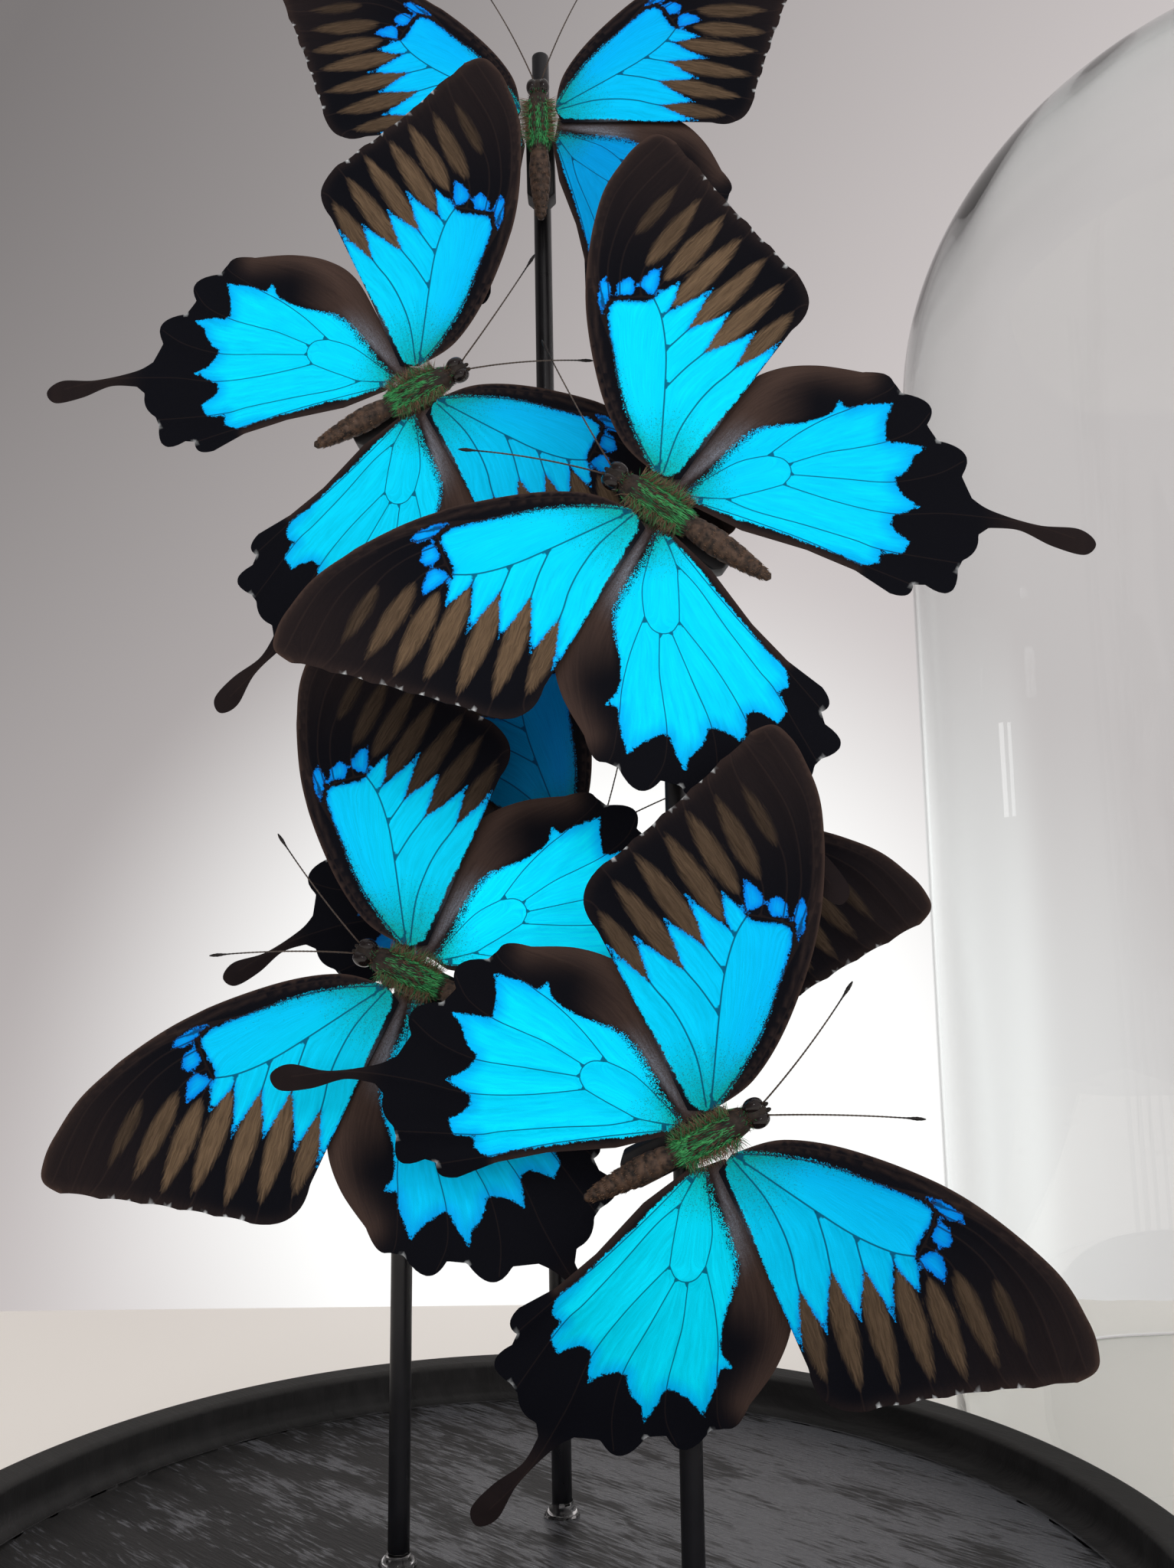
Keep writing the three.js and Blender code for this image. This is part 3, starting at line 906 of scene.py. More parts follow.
# What sets the two kinds of wing apart. root is how far the root's tint reaches, dusting
# is how much and how far the blue scatters over the edge beside the body, fur is how far
# that edge is tinted, dots are the size and paleness of the margin's pale dots, and
# lean is how much the hue changes from the front of the wing to its rear.
WING_PLANS = {
    "fore": {
        "length": 64.0, "hinge": (3.8, 2.6, 1.7), "seed": 11, "outline": fore_outline,
        "veins": FORE_VEINS, "blue": FORE_BLUE, "soft": FORE_SOFT, "front": FORE_FRONT,
        "rear": [FORE_CORNER[-1], *FORE_REAR, (0, 0)], "order": FORE_ORDER, "edges": (0.0, 12.0),
        "root": 0.21, "dusting": (0.9, 1.0), "fur": 0.45, "dots": (0.5, 0.8), "lean": 1,
    },
    "hind": {
        "length": 50.0, "hinge": (3.8, -2.4, 0.7), "seed": 23, "outline": hind_outline,
        "veins": HIND_VEINS, "blue": HIND_BLUE, "soft": HIND_SOFT, "front": HIND_FRONT,
        "rear": [*HIND_REAR, (0, 0)], "order": HIND_ORDER, "edges": (0.0, 9.5),
        "root": 0.20, "dusting": (1.9, 1.8), "fur": 0.25, "dots": (0.7, 0.35), "lean": 0.3,
    },
}


def fore_markings(at):
    """Royal blue spots, woolly streaks, brown edges and pale dust on the forewing."""
    length = WING_PLANS["fore"]["length"]
    spot = at.depths[1:].max(0) > at.depths[0]
    rim = 0.60 * (1 - np.clip(at.depths[0] / 0.6, 0, 1)) * eased(0.25, 0.45, at.reach)
    strength = np.array([w for _, _, w in FORE_STREAKS])
    streaks = []
    for start, end, w in FORE_STREAKS:
        a, b = np.array(start) * length, np.array(end) * length
        half = 0.033 * length * (0.6 + 0.4 * w)
        streaks.append(spindle(at.flat, a, b, half) - (1 - w) * 0.35)
    apex = eased(0.55, 1.0, at.x)
    edge = 0.8 * bell(at.front, 0.28) + 0.35 * bell(at.front - 1.5, 0.32) * (1 - apex)
    worn = 0.22 * bell(at.margin, 1.2) * eased(0.3, 0.6, at.x)
    between = eased(0.35, 1.2, at.vein) * eased(1.0, 3.0, at.margin)
    outer = eased(0.36, 0.6, at.x - 0.45 * at.y)
    return {
        "vein": at.vein,
        "deep": np.where(spot, 0.85 - 0.45 * np.clip(at.zone / 1.1, 0, 1), rim),
        "streak": np.max(streaks, 0),
        "wool": strength[np.argmax(streaks, 0)] ** 2,
        "brown": np.clip(0.22 * apex + edge + worn, 0, 1),
        "lilac": 0.30 * np.exp(-(((at.x - 0.16) / 0.12) ** 2 + ((at.y + 0.14) / 0.04) ** 2)),
        "ray": between * outer * fading(9.0, 22.0, at.margin),
        "crescent": np.zeros(len(at.flat)),
    }


def hind_markings(at):
    """The hindwing's dark front, pale dust beside the body, and crescents underneath."""
    outer = eased(0.42, 0.60, at.x)
    rim = (0.28 + 0.22 * outer) * (1 - np.clip(at.zone / (0.5 + 1.9 * outer), 0, 1))
    above = eased(0.0, 0.03, at.y - np.interp(at.x, *zip(*HIND_BLUE_TOP)))
    inside_front = 0.85 * fading(0.22, 0.46, at.x) * above
    band = bell(at.front, 3.0) * fading(0.62, 0.8, at.x)
    tail = eased(0.98, 1.15, at.x)
    pale = 0.95 * bell(at.soft, 2.8) * above * fading(0.17, 0.40, at.reach)
    between = eased(0.4, 1.4, at.vein) * eased(2.0, 4.0, at.margin) * fading(4.0, 9.0, at.margin)
    arc = np.abs(at.margin - 5.2 - 0.9 * np.cos(at.vein * 1.1))
    crescent = fading(0.35, 0.75, arc) * eased(0.9, 1.5, at.vein) * eased(0.5, 0.62, at.x)
    return {
        "vein": at.vein * 1.5,
        "deep": rim * eased(0.2, 0.4, at.reach),
        "streak": np.full(len(at.flat), -3.0),
        "wool": np.zeros(len(at.flat)),
        "brown": np.clip(0.9 * band + inside_front + 0.5 * bell(at.rear, 1.0) + 0.22 * tail, 0, 1),
        "lilac": pale * eased(0.0, 0.12, at.reach),
        "ray": between * eased(0.25, 0.5, at.x) * (at.x < 1),
        "crescent": crescent * (at.x < 0.99),
    }


def wing_template(kind, spacing):
    """Flat points in mm, triangles and every stored value of one kind of wing."""
    plan = WING_PLANS[kind]
    length = plan["length"]
    blues = [np.array(b) * length for b in plan["blue"]]
    lines = [np.array(spline(np.array(v) * length, 6)) for v in plan["veins"]]
    borders = [np.vstack([b, b[:1]]) for b in blues]
    rng = np.random.default_rng(plan["seed"])
    outline = plan["outline"]() * length
    flat, triangles, closed = wing_sheet(outline, lines + borders, spacing, rng)
    front_line = np.array(spline(plan["front"], 8)) * length
    rear_line = np.array(plan["rear"]) * length
    x, y = (flat / length).T
    depths = np.array([depth_in(flat, b) for b in blues])
    at = SimpleNamespace(
        flat=flat, x=x, y=y, reach=np.hypot(x, y), depths=depths, zone=depths.max(0),
        vein=np.min([line_distance(flat, v) for v in lines], 0),
        margin=np.abs(depth_in(flat, closed)),
        soft=line_distance(flat, np.array(plan["soft"]) * length),
        front=line_distance(flat, front_line), rear=line_distance(flat, rear_line),
    )
    orders = [[(x * length, value) for x, value in row] for row in plan["order"]]
    low, high = plan["edges"]
    lines, orders = [*lines, rear_line, front_line], [*orders, [(0, low)], [(0, high)]]
    order = flow_order(flat, triangles, lines, orders)

    root = np.clip(1 - at.reach / plan["root"], 0, 1)
    edge_fur = bell(at.soft, 1.3) * fading(0.12, 0.42, at.reach)
    dusting, wide = plan["dusting"]
    size, paleness = plan["dots"]
    if kind == "fore":
        ends = np.array(FORE_ENDS)
        dots = np.vstack([ends[:-1] * (1 - t) + ends[1:] * t for t in (0.3, 0.7)])
        values = fore_markings(at)
    else:
        dots = np.array([row[0] for row in HIND_UPPER[1:] + HIND_LOWER[1:]])
        values = hind_markings(at)
    near_dot = np.sqrt(((flat[:, None] - dots * length) ** 2).sum(2)).min(1)
    values["zone"] = at.zone
    values["spread"] = 0.30 + dusting * bell(at.soft, wide) * fading(0.25, 0.5, at.reach)
    values["bloom"] = np.clip(root**1.2 + plan["fur"] * edge_fur, 0, 1)
    values["fringe"] = fading(size * 0.4, size, near_dot) * fading(0.15, 0.32, at.margin) * paleness
    values["grain"] = columns(order * 4.4, at.reach * length * 0.06, 0)
    values["order"] = order / high
    # Veins stand up, the skin between them sags, and the outer edge ripples a little.
    height = 0.10 * bell(at.vein, 0.28) - 0.26 * (1 - bell(at.vein, 1.5))
    fold = np.sin(order * 3.1) * 0.05 * eased(0.15, 0.5, at.reach)
    ripple = 0.16 * np.sin(x * 17 + y * 9) * eased(0.3, 0.9, at.reach)
    values["height"] = height + fold + ripple
    return flat, triangles, values


def wing_place(row, kind, letter):
    """From a wing's own plane to the frame, in millimetres."""
    side, scale = SIDES[letter], row["scale"]
    root = Vector(WING_PLANS[kind]["hinge"]) * scale
    root.x *= side
    sweep, lift = (math.radians(a) for a in row[kind][letter])
    lifted = Matrix.Translation(root) @ Matrix.Rotation(-side * lift, 4, "Y")
    return body_place(row) @ (lifted @ Matrix.Rotation(side * sweep, 4, "Z"))


def body_place(row):
    turn, tip, heading = (math.radians(a) for a in row["angles"])
    tipped = Matrix.Rotation(turn, 4, "Z") @ Matrix.Rotation(tip, 4, "X")
    return Matrix.Translation(row["at"]) @ (tipped @ Matrix.Rotation(heading, 4, "Z"))


def build_wing(template, kind, letter, number, row, materials, wings, hue, painted_light_level):
    side, scale = SIDES[letter], row["scale"]
    rng = np.random.default_rng(number * 10 + (kind == "hind") * 2 + (side > 0))
    flat, triangles, values = template
    plan = WING_PLANS[kind]
    count, length = len(flat), plan["length"]
    reach = np.hypot(*flat.T) / length
    droop, twist = rng.uniform(-0.5, 0.7), rng.uniform(-0.6, 0.6)
    height = values["height"] + droop * reach**2 + twist * reach * flat[:, 1] / length
    height += 0.12 * np.sin(flat[:, 0] * 0.22 + rng.uniform(0, 6)) * eased(0.2, 0.8, reach)
    half = wings.thickness / MM / 2
    x, y = flat[:, 0] * side, flat[:, 1]
    points = [columns(x, y, height + half) * scale, columns(x, y, height - half) * scale]
    rim = rim_edges(triangles, count)
    start, end = rim.T
    walls = columns(start, start + count, end + count, end)
    sheets = [triangles, triangles[:, ::-1] + count]
    if side < 0:
        sheets = [s[:, ::-1] for s in sheets]
        walls = walls[:, ::-1]
    faces = sheets[0].tolist() + sheets[1].tolist() + walls.tolist()
    piece = make_piece(
        f"wing_{kind}_{letter}_{number}", np.vstack(points), faces, materials,
        [f"{kind}wing_{letter}_{number}"], wing_place(row, kind, letter),
    )
    which = [0] * len(triangles) + [1] * len(triangles) + [0] * len(walls)
    piece.data.polygons.foreach_set("material_index", which)
    crease(piece, np.vstack([rim, rim + count]))
    lean = hue + 0.30 * (0.45 - values["order"]) * plan["lean"]
    pale = row["wool"][letter == "r"]
    # The level that brightens or darkens the whole wing's blue is painted light and shade.
    own = {"hue": np.clip(lean, 0, 1), "wool": values["wool"] * pale, "painted_light_level": np.full(count, painted_light_level)}
    for name in WING_VALUES:
        give(piece, name, np.tile({**values, **own}[name], 2))
    seed = rng.uniform(0, 90)
    for name, place in ("place", columns(*flat.T, seed)), ("grain", values["grain"] + (0, 0, seed)):
        give(piece, name, np.tile(place, (2, 1)), "FLOAT_VECTOR")


def build_wings(wings):
    materials = [wing_top_finish(wings), wing_under_finish(wings)]
    templates = {kind: wing_template(kind, wings.mesh_step / MM) for kind in WING_PLANS}
    for number, row in enumerate(BUTTERFLIES, 1):
        looks = iter(row["looks"])
        for kind, template in templates.items():
            for letter in SIDES:
                build_wing(template, kind, letter, number, row, materials, wings, *next(looks))


# ----------------------------------------------------------------------------- bodies

BODY_PROFILE = [
    (-22.8, 0.0), (-22.4, 0.7), (-21, 1.2), (-18.5, 1.65), (-16, 2.0), (-13, 2.3), (-11, 2.4),
    (-8.5, 2.2), (-6.8, 1.95), (-5.2, 2.2), (-4, 2.45), (-2, 2.65), (0, 2.7), (2, 2.7),
    (3.8, 2.6), (5.4, 2.4), (6.6, 2.15), (7.6, 1.6), (8.0, 0.0),
]
ABDOMEN_RINGS = [-6.6, -8.7, -10.8, -12.9, -14.9, -16.8, -18.6, -20.3, -21.6]


def body_radius(along):
    ys, rs = np.array(BODY_PROFILE).T
    radius = np.interp(along, ys, rs)
    for ring in ABDOMEN_RINGS:
        radius = radius - 0.20 * bell(along - ring, 0.26) * (radius > 0.4)
    return radius


def sag(along):
    """How far the end of the abdomen hangs below the thorax."""
    return 0.5 * eased(6, 22, -along)


def trunk():
    """Thorax and ringed abdomen, a little flattened, as one closed skin."""
    tail, neck = BODY_PROFILE[0], BODY_PROFILE[-1]
    skin = [(max(body_radius(y), 0.12), y) for y in np.linspace(-22.6, 7.85, 130)]
    points, faces = lathe([tail[::-1], *skin, neck[::-1]], 32)
    points = points[:, [0, 2, 1]] * (1, 1, -1)
    along = points[:, 1]
    flatten = np.interp(along, [-22, -6, -3, 4, 8], [0.9, 0.92, 0.88, 0.9, 1.0])
    points[:, 2] *= flatten
    points[:, 2] -= sag(along)
    return points, faces


# Each hair has two rings of three points and a tip.
HAIR_POINTS = 7


def hair_tufts(rng, roots, normals, lean, stands, length, width, tone):
    """Thin closed spikes, bent over along lean."""
    count = len(roots)
    stand = rng.uniform(*stands, (count, 1))
    direction = normals * stand + lean + rng.normal(0, 0.16, (count, 3))
    direction /= np.linalg.norm(direction, axis=1)[:, None]
    bent = direction * 0.55 + lean * 0.6
    bent /= np.linalg.norm(bent, axis=1)[:, None]
    across = np.cross(direction, normals + rng.normal(0, 0.1, (count, 3)))
    across /= np.maximum(np.linalg.norm(across, axis=1)[:, None], 1e-6)
    other = np.cross(direction, across)
    long = length[:, None]
    foot = roots - normals * 0.08
    middle = foot + direction * long * 0.5
    tip = middle + bent * long * 0.5
    rings = []
    for centre, size in ((foot, 1.0), (middle, 0.75)):
        for corner in range(3):
            angle = 2 * math.pi * corner / 3
            outwards = across * math.cos(angle) + other * math.sin(angle)
            rings.append(centre + width * size * outwards)
    points = np.stack([*rings, tip], 1).reshape(-1, 3)
    pattern = [(0, 2, 1)] + [(i, (i + 1) % 3, 3 + (i + 1) % 3, 3 + i) for i in range(3)]
    pattern += [(3 + i, 3 + (i + 1) % 3, 6) for i in range(3)]
    faces = [tuple(c + HAIR_POINTS * k for c in face) for k in range(count) for face in pattern]
    return points, faces, np.repeat(tone, HAIR_POINTS)


def toned(rng, count, chance, chosen, others):
    """Tones for hairs: from the chosen range by chance, otherwise from the other one."""
    picked = rng.random(count) < chance
    return np.where(picked, rng.uniform(*chosen, count), rng.uniform(*others, count))


def body_tufts(rng, bodies):
    """Fur on the thorax and wing roots, short hair on the abdomen and a ruff at the head."""
    share = bodies.hair_count
    parts = []
    plans = [
        (share * 2, -5.2, 8.0, (0.9, 1.7), (0.02, 0.18), 0.085, True),
        (share * 2 // 3, -21.8, -4.5, (0.4, 0.75), (0.0, 0.11), 0.06, False),
    ]
    for count, low, high, lengths, stands, width, fore in plans:
        along = rng.uniform(low, high, count)
        angle = rng.uniform(0, 2 * math.pi, count)
        radius = body_radius(along)
        nx, nz = np.cos(angle), np.sin(angle)
        normal = columns(nx, 0, nz)
        root = columns(radius * nx, along, radius * nz * 0.9 - sag(along))
        lean = columns(nx * 0.10, -1.3, nz * 0.05)
        # Green lies in lengthwise stripes on the back, with a pale patch on each side behind.
        stripe = 0.5 + 0.5 * np.cos((angle - math.pi / 2) * 8 + 0.3 * np.sin(along * 1.7))
        back = eased(-0.55, -0.05, nz)
        patch = bell(along + 3.9, 1.1) * bell(np.abs(nx) - 0.5, 0.3)
        if fore:
            chance = np.clip((0.34 + 0.66 * stripe) * back + patch, 0, 1)
            bright = np.clip(0.64 + 0.26 * stripe + 0.25 * patch, 0, 0.95)
            tone = toned(rng, count, chance, (bright - 0.06, bright + 0.05), (0.0, 0.30))
        else:
            chance = 0.6 * back * eased(-8.5, -5, along)
            tone = toned(rng, count, chance, (0.6, 0.8), (0.16, 0.42))
        long = rng.uniform(*lengths, count)
        parts.append(hair_tufts(rng, root, normal, lean, stands, long, width, tone))
    # Fur that fans from the flanks over the wing roots.
    count = share // 2
    side = rng.choice([-1.0, 1.0], count)
    along = rng.uniform(-4.8, 5.2, count)
    radius = body_radius(along)
    out = side * radius * rng.uniform(0.72, 0.98, count)
    root = columns(out, along, rng.uniform(0.9, 2.2, count))
    out, back = side * rng.uniform(0.5, 1.0, count), rng.uniform(-0.6, 0.35, count)
    normal, lean = columns(side * 0.5, 0, 0.85), columns(out, back, -0.02)
    tone = toned(rng, count, 0.28, (0.6, 0.85), (0.2, 0.5))
    long = rng.uniform(1.0, 3.2, count)
    parts.append(hair_tufts(rng, root, normal, lean, (0.0, 0.14), long, 0.05, tone))
    # The ruff behind the head.
    count = share // 6
    angle = rng.uniform(0, 2 * math.pi, count)
    along = rng.uniform(6.6, 8.6, count)
    radius = np.interp(along, [6.6, 7.6, 8.6], [2.0, 1.7, 1.5])
    nx, nz = np.cos(angle), np.sin(angle)
    normal, root = columns(nx, 0.2, nz), columns(radius * nx, along, radius * nz)
    lean = columns(0, rng.uniform(-0.6, 0.5, count), 0.1)
    tone = toned(rng, count, 0.3, (0.6, 0.8), (0.0, 0.3))
    long = rng.uniform(0.5, 1.0, count)
    parts.append(hair_tufts(rng, root, normal, lean, (0.05, 0.3), long, 0.06, tone))
    points, faces, _ = joined([(p, f) for p, f, _ in parts])
    return points, faces, np.concatenate([t for _, _, t in parts])


BODY_SEED = 400


def build_bodies(bodies):
    cuticle, hair, eye = cuticle_finish(bodies), hair_finish(bodies), eye_finish()
    for number, row in enumerate(BUTTERFLIES, 1):
        rng = np.random.default_rng(BODY_SEED + number)
        head = egg((0, 8.7, 0.2), (1.8, 2.3, 1.7))
        palps = [egg((s * 0.5, 10.9, -0.2), (0.4, 0.75, 0.45), 8, 12) for s in (-1, 1)]
        eyes = [egg((s * 1.25, 9.1, 0.45), (1.35, 1.8, 1.6), 16, 26) for s in (-1, 1)]
        points, faces, tone = body_tufts(rng, bodies)
        solids = [trunk(), head, *palps, *eyes, (points, faces)]
        every, all_faces, part = joined(solids)
        tones = [np.full(len(p), 0.1) for p, _ in solids[:-1]] + [tone]
        tones[0] = 0.2 + 0.55 * eased(4, 8, -solids[0][0][:, 1])
        piece = make_piece(
            f"butterfly_body_{number}", every * row["scale"], all_faces, [cuticle, eye, hair],
            [f"body_{number}"], body_place(row),
        )
        # The slots of the trunk, head and palps, of the eyes, and of the hair.
        finish = (0, 0, 0, 0, 1, 1, 2)
        piece.data.polygons.foreach_set("material_index", [finish[p] for p in part])
        give(piece, "tone", np.concatenate(tones))
        face_outwards(piece)


def build_antennae():
    material = horn_finish()
    spread, reach = math.radians(27), 24.0
    for number, row in enumerate(BUTTERFLIES, 1):
        for letter, side in SIDES.items():
            scale = row["scale"]
            start = np.array([side * 1.3, 11.4, 1.4]) * scale
            aside, ahead = math.sin(spread) * reach * scale, math.cos(spread) * reach * scale
            end = start + (side * aside, ahead, 2.5)
            middle = (start + end) / 2 + (-side * 0.9, 0, 1.2)
            root = np.array([side * 0.8, 10.2, 0.9]) * scale
            path = np.array([root, *bow(start, middle, end, 72)])
            t = np.linspace(0, 1, len(path))
            radii = 0.125 + 0.03 * (1 - t) + 0.017 * np.cos(np.arange(len(t)) * math.pi)
            radii += 0.20 * bell(t - 0.945, 0.045)
            radii[-1] = 0.10
            points, faces = tube(path, radii)
            piece = make_piece(
                f"feeler_{letter}_{number}", points, faces, [material],
                [f"antenna_{letter}_{number}"], body_place(row),
            )
            give(piece, "along", np.repeat(t, len(points) // len(t)))
            face_outwards(piece)


# --------------------------------------------------------- base, rods, blocks and dome

# How deep the floor of the base lies under its rim, the heights of the feet of the
# rods and the glue, and the number of points round each rod and each ring of glue.
RECESS = 8
ROD_FOOT, GLUE_FOOT, GLUE_RISE = 14.3, 14.2, 14.25
ROUND = 40


def build_base(base):
    radius, height = base.radius / MM, base.height / MM
    inner = radius - base.rim_width / MM
    floor = height - RECESS
    corners = [
        (0, 0), (radius - 4, 0), (radius - 3, 0.3), (radius - 0.3, 3), (radius, 4),
        (radius, height - 1.8), (radius - 0.5, height - 0.5), (radius - 1.8, height),
        (inner + 0.8, height), (inner, height - 0.8), (inner - 0.5, floor + 3),
        (inner - 1.4, floor + 1.0), (inner - 3.5, floor), (0, floor),
    ]
    profile = rounded(corners, 0.9)
    steps = [(r, floor) for r in [inner - 4.2, *np.linspace(inner - 6, 6, 20)]]
    points, faces = lathe([*profile[:-1], *steps, (0, floor)], 256)
    piece = make_piece("stained_base", points, faces, [wood_finish(base)], ["base"])
    out = np.hypot(points[:, 0], points[:, 1])
    give(piece, "floor", fading(inner - 5, inner - 3.4, out) * (points[:, 2] > 1))
    give(piece, "rim", eased(height - 1.2, height - 0.4, points[:, 2]))
    face_outwards(piece)


def build_rods(rods):
    metal = black_finish("black_metal", tuple(rods.colour), low=0.26, high=0.40, scale=180.0)
    glue = clear_finish("set_glue", (0.85, 0.9, 0.88), roughness=0.12, ior=1.45, density=20.0)
    radius = rods.radius / MM
    for letter, (x, y, top, lean) in RODS.items():
        domed = radius * 0.35
        shoulder = top - domed
        cap = [
            (radius * math.cos(a), shoulder + domed * math.sin(a))
            for a in np.linspace(0, math.pi / 2, 8)[:-1]
        ]
        shaft = [(radius, z) for z in np.linspace(ROD_FOOT, shoulder - 0.5, 24)]
        ends = [(0, ROD_FOOT), (radius - 0.1, ROD_FOOT)]
        points, faces = lathe([*ends, *shaft, *cap, (0, top)], ROUND)
        points[:, 0] -= points[:, 2] * math.tan(math.radians(lean))
        piece = make_piece(
            f"rod_shaft_{letter}", points + (x, y, 0), faces, [metal],
            [f"rod_{letter}"],
        )
        face_outwards(piece)

        # The bead of glue slopes down from the rod, and its outside is a little lumpy.
        phase = np.random.default_rng(ord(letter)).uniform(0, 6, 3)
        bore = radius + 0.04
        skirt = [
            (max(3.75 - 1.75 * eased(0, 1, t) ** 0.8 * 0.98, bore + 0.02), GLUE_RISE + 2.4 * t)
            for t in np.linspace(0, 1, 14)
        ]
        profile = [(bore, GLUE_FOOT), (3.8, GLUE_FOOT), *skirt, (bore, skirt[-1][1])]
        points, faces = lathe([*profile, profile[0]], ROUND)
        last = len(points) - ROUND
        faces = [tuple(i - last if i >= last else i for i in f) for f in faces]
        points = points[:last]
        angle = np.arctan2(points[:, 1], points[:, 0])
        waves = zip((0.07, 0.04, 0.02), (1, 3, 5), phase)
        lumps = sum(size * np.sin(n * angle + start) for size, n, start in waves) - 0.08
        points[:, :2] *= (1 + lumps * (np.hypot(*points[:, :2].T) > 2.2))[:, None]
        piece = make_piece(
            f"glue_ring_{letter}", points + (x, y, 0), faces, [glue],
            [f"glue_{letter}"],
        )
        face_outwards(piece)


def build_blocks(rods):
    plastic = black_finish("black_block", tuple(rods.colour), low=0.42, high=0.6, scale=260.0)
    width, length, thickness, chamfer, shift = 6.4, 20.0, 4.6, 1.4, -5.5
    half, low, high = width / 2, shift - length / 2, shift + length / 2
    ring = [
        (-half + chamfer, low), (half - chamfer, low), (half, low + chamfer),
        (half, high - chamfer), (half - chamfer, high), (-half + chamfer, high),
        (-half, high - chamfer), (-half, low + chamfer),
    ]
    for number, row in enumerate(BUTTERFLIES, 1):
        top = -3.3 * row["scale"] - 0.3
        shell = bmesh.new()
        rings = [[shell.verts.new((x, y, z)) for x, y in ring] for z in (top - thickness, top)]
        shell.faces.new(rings[0][::-1])
        shell.faces.new(rings[1])
        for i in range(8):
            j = (i + 1) % 8
            shell.faces.new((rings[0][i], rings[0][j], rings[1][j], rings[1][i]))
        bevel = {"offset": 0.35, "segments": 3, "profile": 0.5, "affect": "EDGES"}
        bmesh.ops.bevel(shell, geom=shell.edges[:], **bevel)
        shell.verts.index_update()
        points = np.array([tuple(v.co) for v in shell.verts])
        faces = [tuple(v.index for v in f.verts) for f in shell.faces]
        shell.free()
        make_piece(
            f"holding_block_{number}", points, faces, [plastic],
            [f"block_{number}"], body_place(row),
        )


# Draws the dome in a little, so that its waves stay inside its own radius.
WAVES_KEPT_IN = 0.9982


def build_dome(dome):
    radius, wall, straight, crown = dome.radius / MM, dome.wall / MM, 290.0, 98.0
    steps, ring = 48, 160
    outside, inner = [], []
    for k in range(steps):
        a = k / steps * math.pi / 2
        outside.append((radius * math.cos(a), straight + crown * math.sin(a)))
        thick = wall * (1 + 0.25 * math.sin(2 * a) ** 2)
        inner.append(((radius - thick) * math.cos(a), straight + (crown - thick) * math.sin(a)))
    outside.append((0, straight + crown))
    inner.append((0, straight + crown - wall))
    half = wall / 2
    middle = radius - half
    heights = np.linspace(half + 0.2, straight, 24)[:-1]
    lip = [
        (middle + half * math.cos(a), half + half * math.sin(a))
        for a in np.linspace(-math.pi, 0, 9)
    ]
    profile = lip + [(radius, z) for z in heights] + outside
    back = inner[::-1] + [(radius - wall, z) for z in heights[::-1]]

    def hand_blown(angle, height):
        broad = 0.0010 * math.sin(2 * angle + height * 0.011)
        return broad + 0.0006 * math.sin(3 * angle - height * 0.017)

    def ribbed(angle, height):
        rib = math.sin(13 * angle + 0.6 * math.sin(height * 0.02))
        fine = 0.7 * math.sin(21 * angle + 1.3 + height * 0.006)
        return hand_blown(angle, height) + 0.0006 * (rib + fine)

    points, faces, _ = joined([lathe(profile, ring, hand_blown), lathe(back, ring, ribbed)])
    last = len(points) - ring
    faces += [(last + i, last + (i + 1) % ring, (i + 1) % ring, i) for i in range(ring)]
    points[:, :2] *= WAVES_KEPT_IN
    low, high = (np.array(c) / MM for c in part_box("dome"))
    points[:, :2] += ((low + high) / 2)[:2]
    tint, density = tuple(dome.tint), dome.density
    glass = clear_finish("clear_glass", tint, roughness=0.0, ior=1.5, density=density)
    piece = make_piece("glass_dome", points, faces, [glass], ["dome"])
    face_outwards(piece)


# ------------------------------------------------------------------------------ stage

CAMERA_AT = (0.0114, -0.2342, 0.1184)
CAMERA_PITCH = math.radians(8.94)
CAMERA_ROLL = math.radians(-0.68)

# Each lamp: its place, what it points at, its size, its share of the key light's power
# and its colour. Only the two glints are seen in the glass.
LAMPS = [
    ("key_light", (-0.55, -1.35, 0.55), (0.0, 0.0, 0.20), (1.5, 1.3), 1.0, (1.0, 0.99, 0.97)),
    ("fill_light", (0.95, -1.15, 0.30), (0.05, 0.0, 0.16), (1.3, 1.1), 0.55, (0.96, 0.98, 1.0)),
    ("top_light", (0.10, 0.30, 1.30), (0.05, 0.0, 0.10), (1.3, 1.3), 0.55, (1.0, 0.98, 0.95)),
    ("edge_glint", (-0.78, 0.62, 0.334), (0.2136, 0.104, 0.22), (0.04, 0.10), 0.002, (1, 1, 1)),
    ("front_glint", (0.05, -0.62, 0.45), (0.0, 0.0, 0.18), (0.06, 0.06), 0.016, (1, 1, 1)),
]


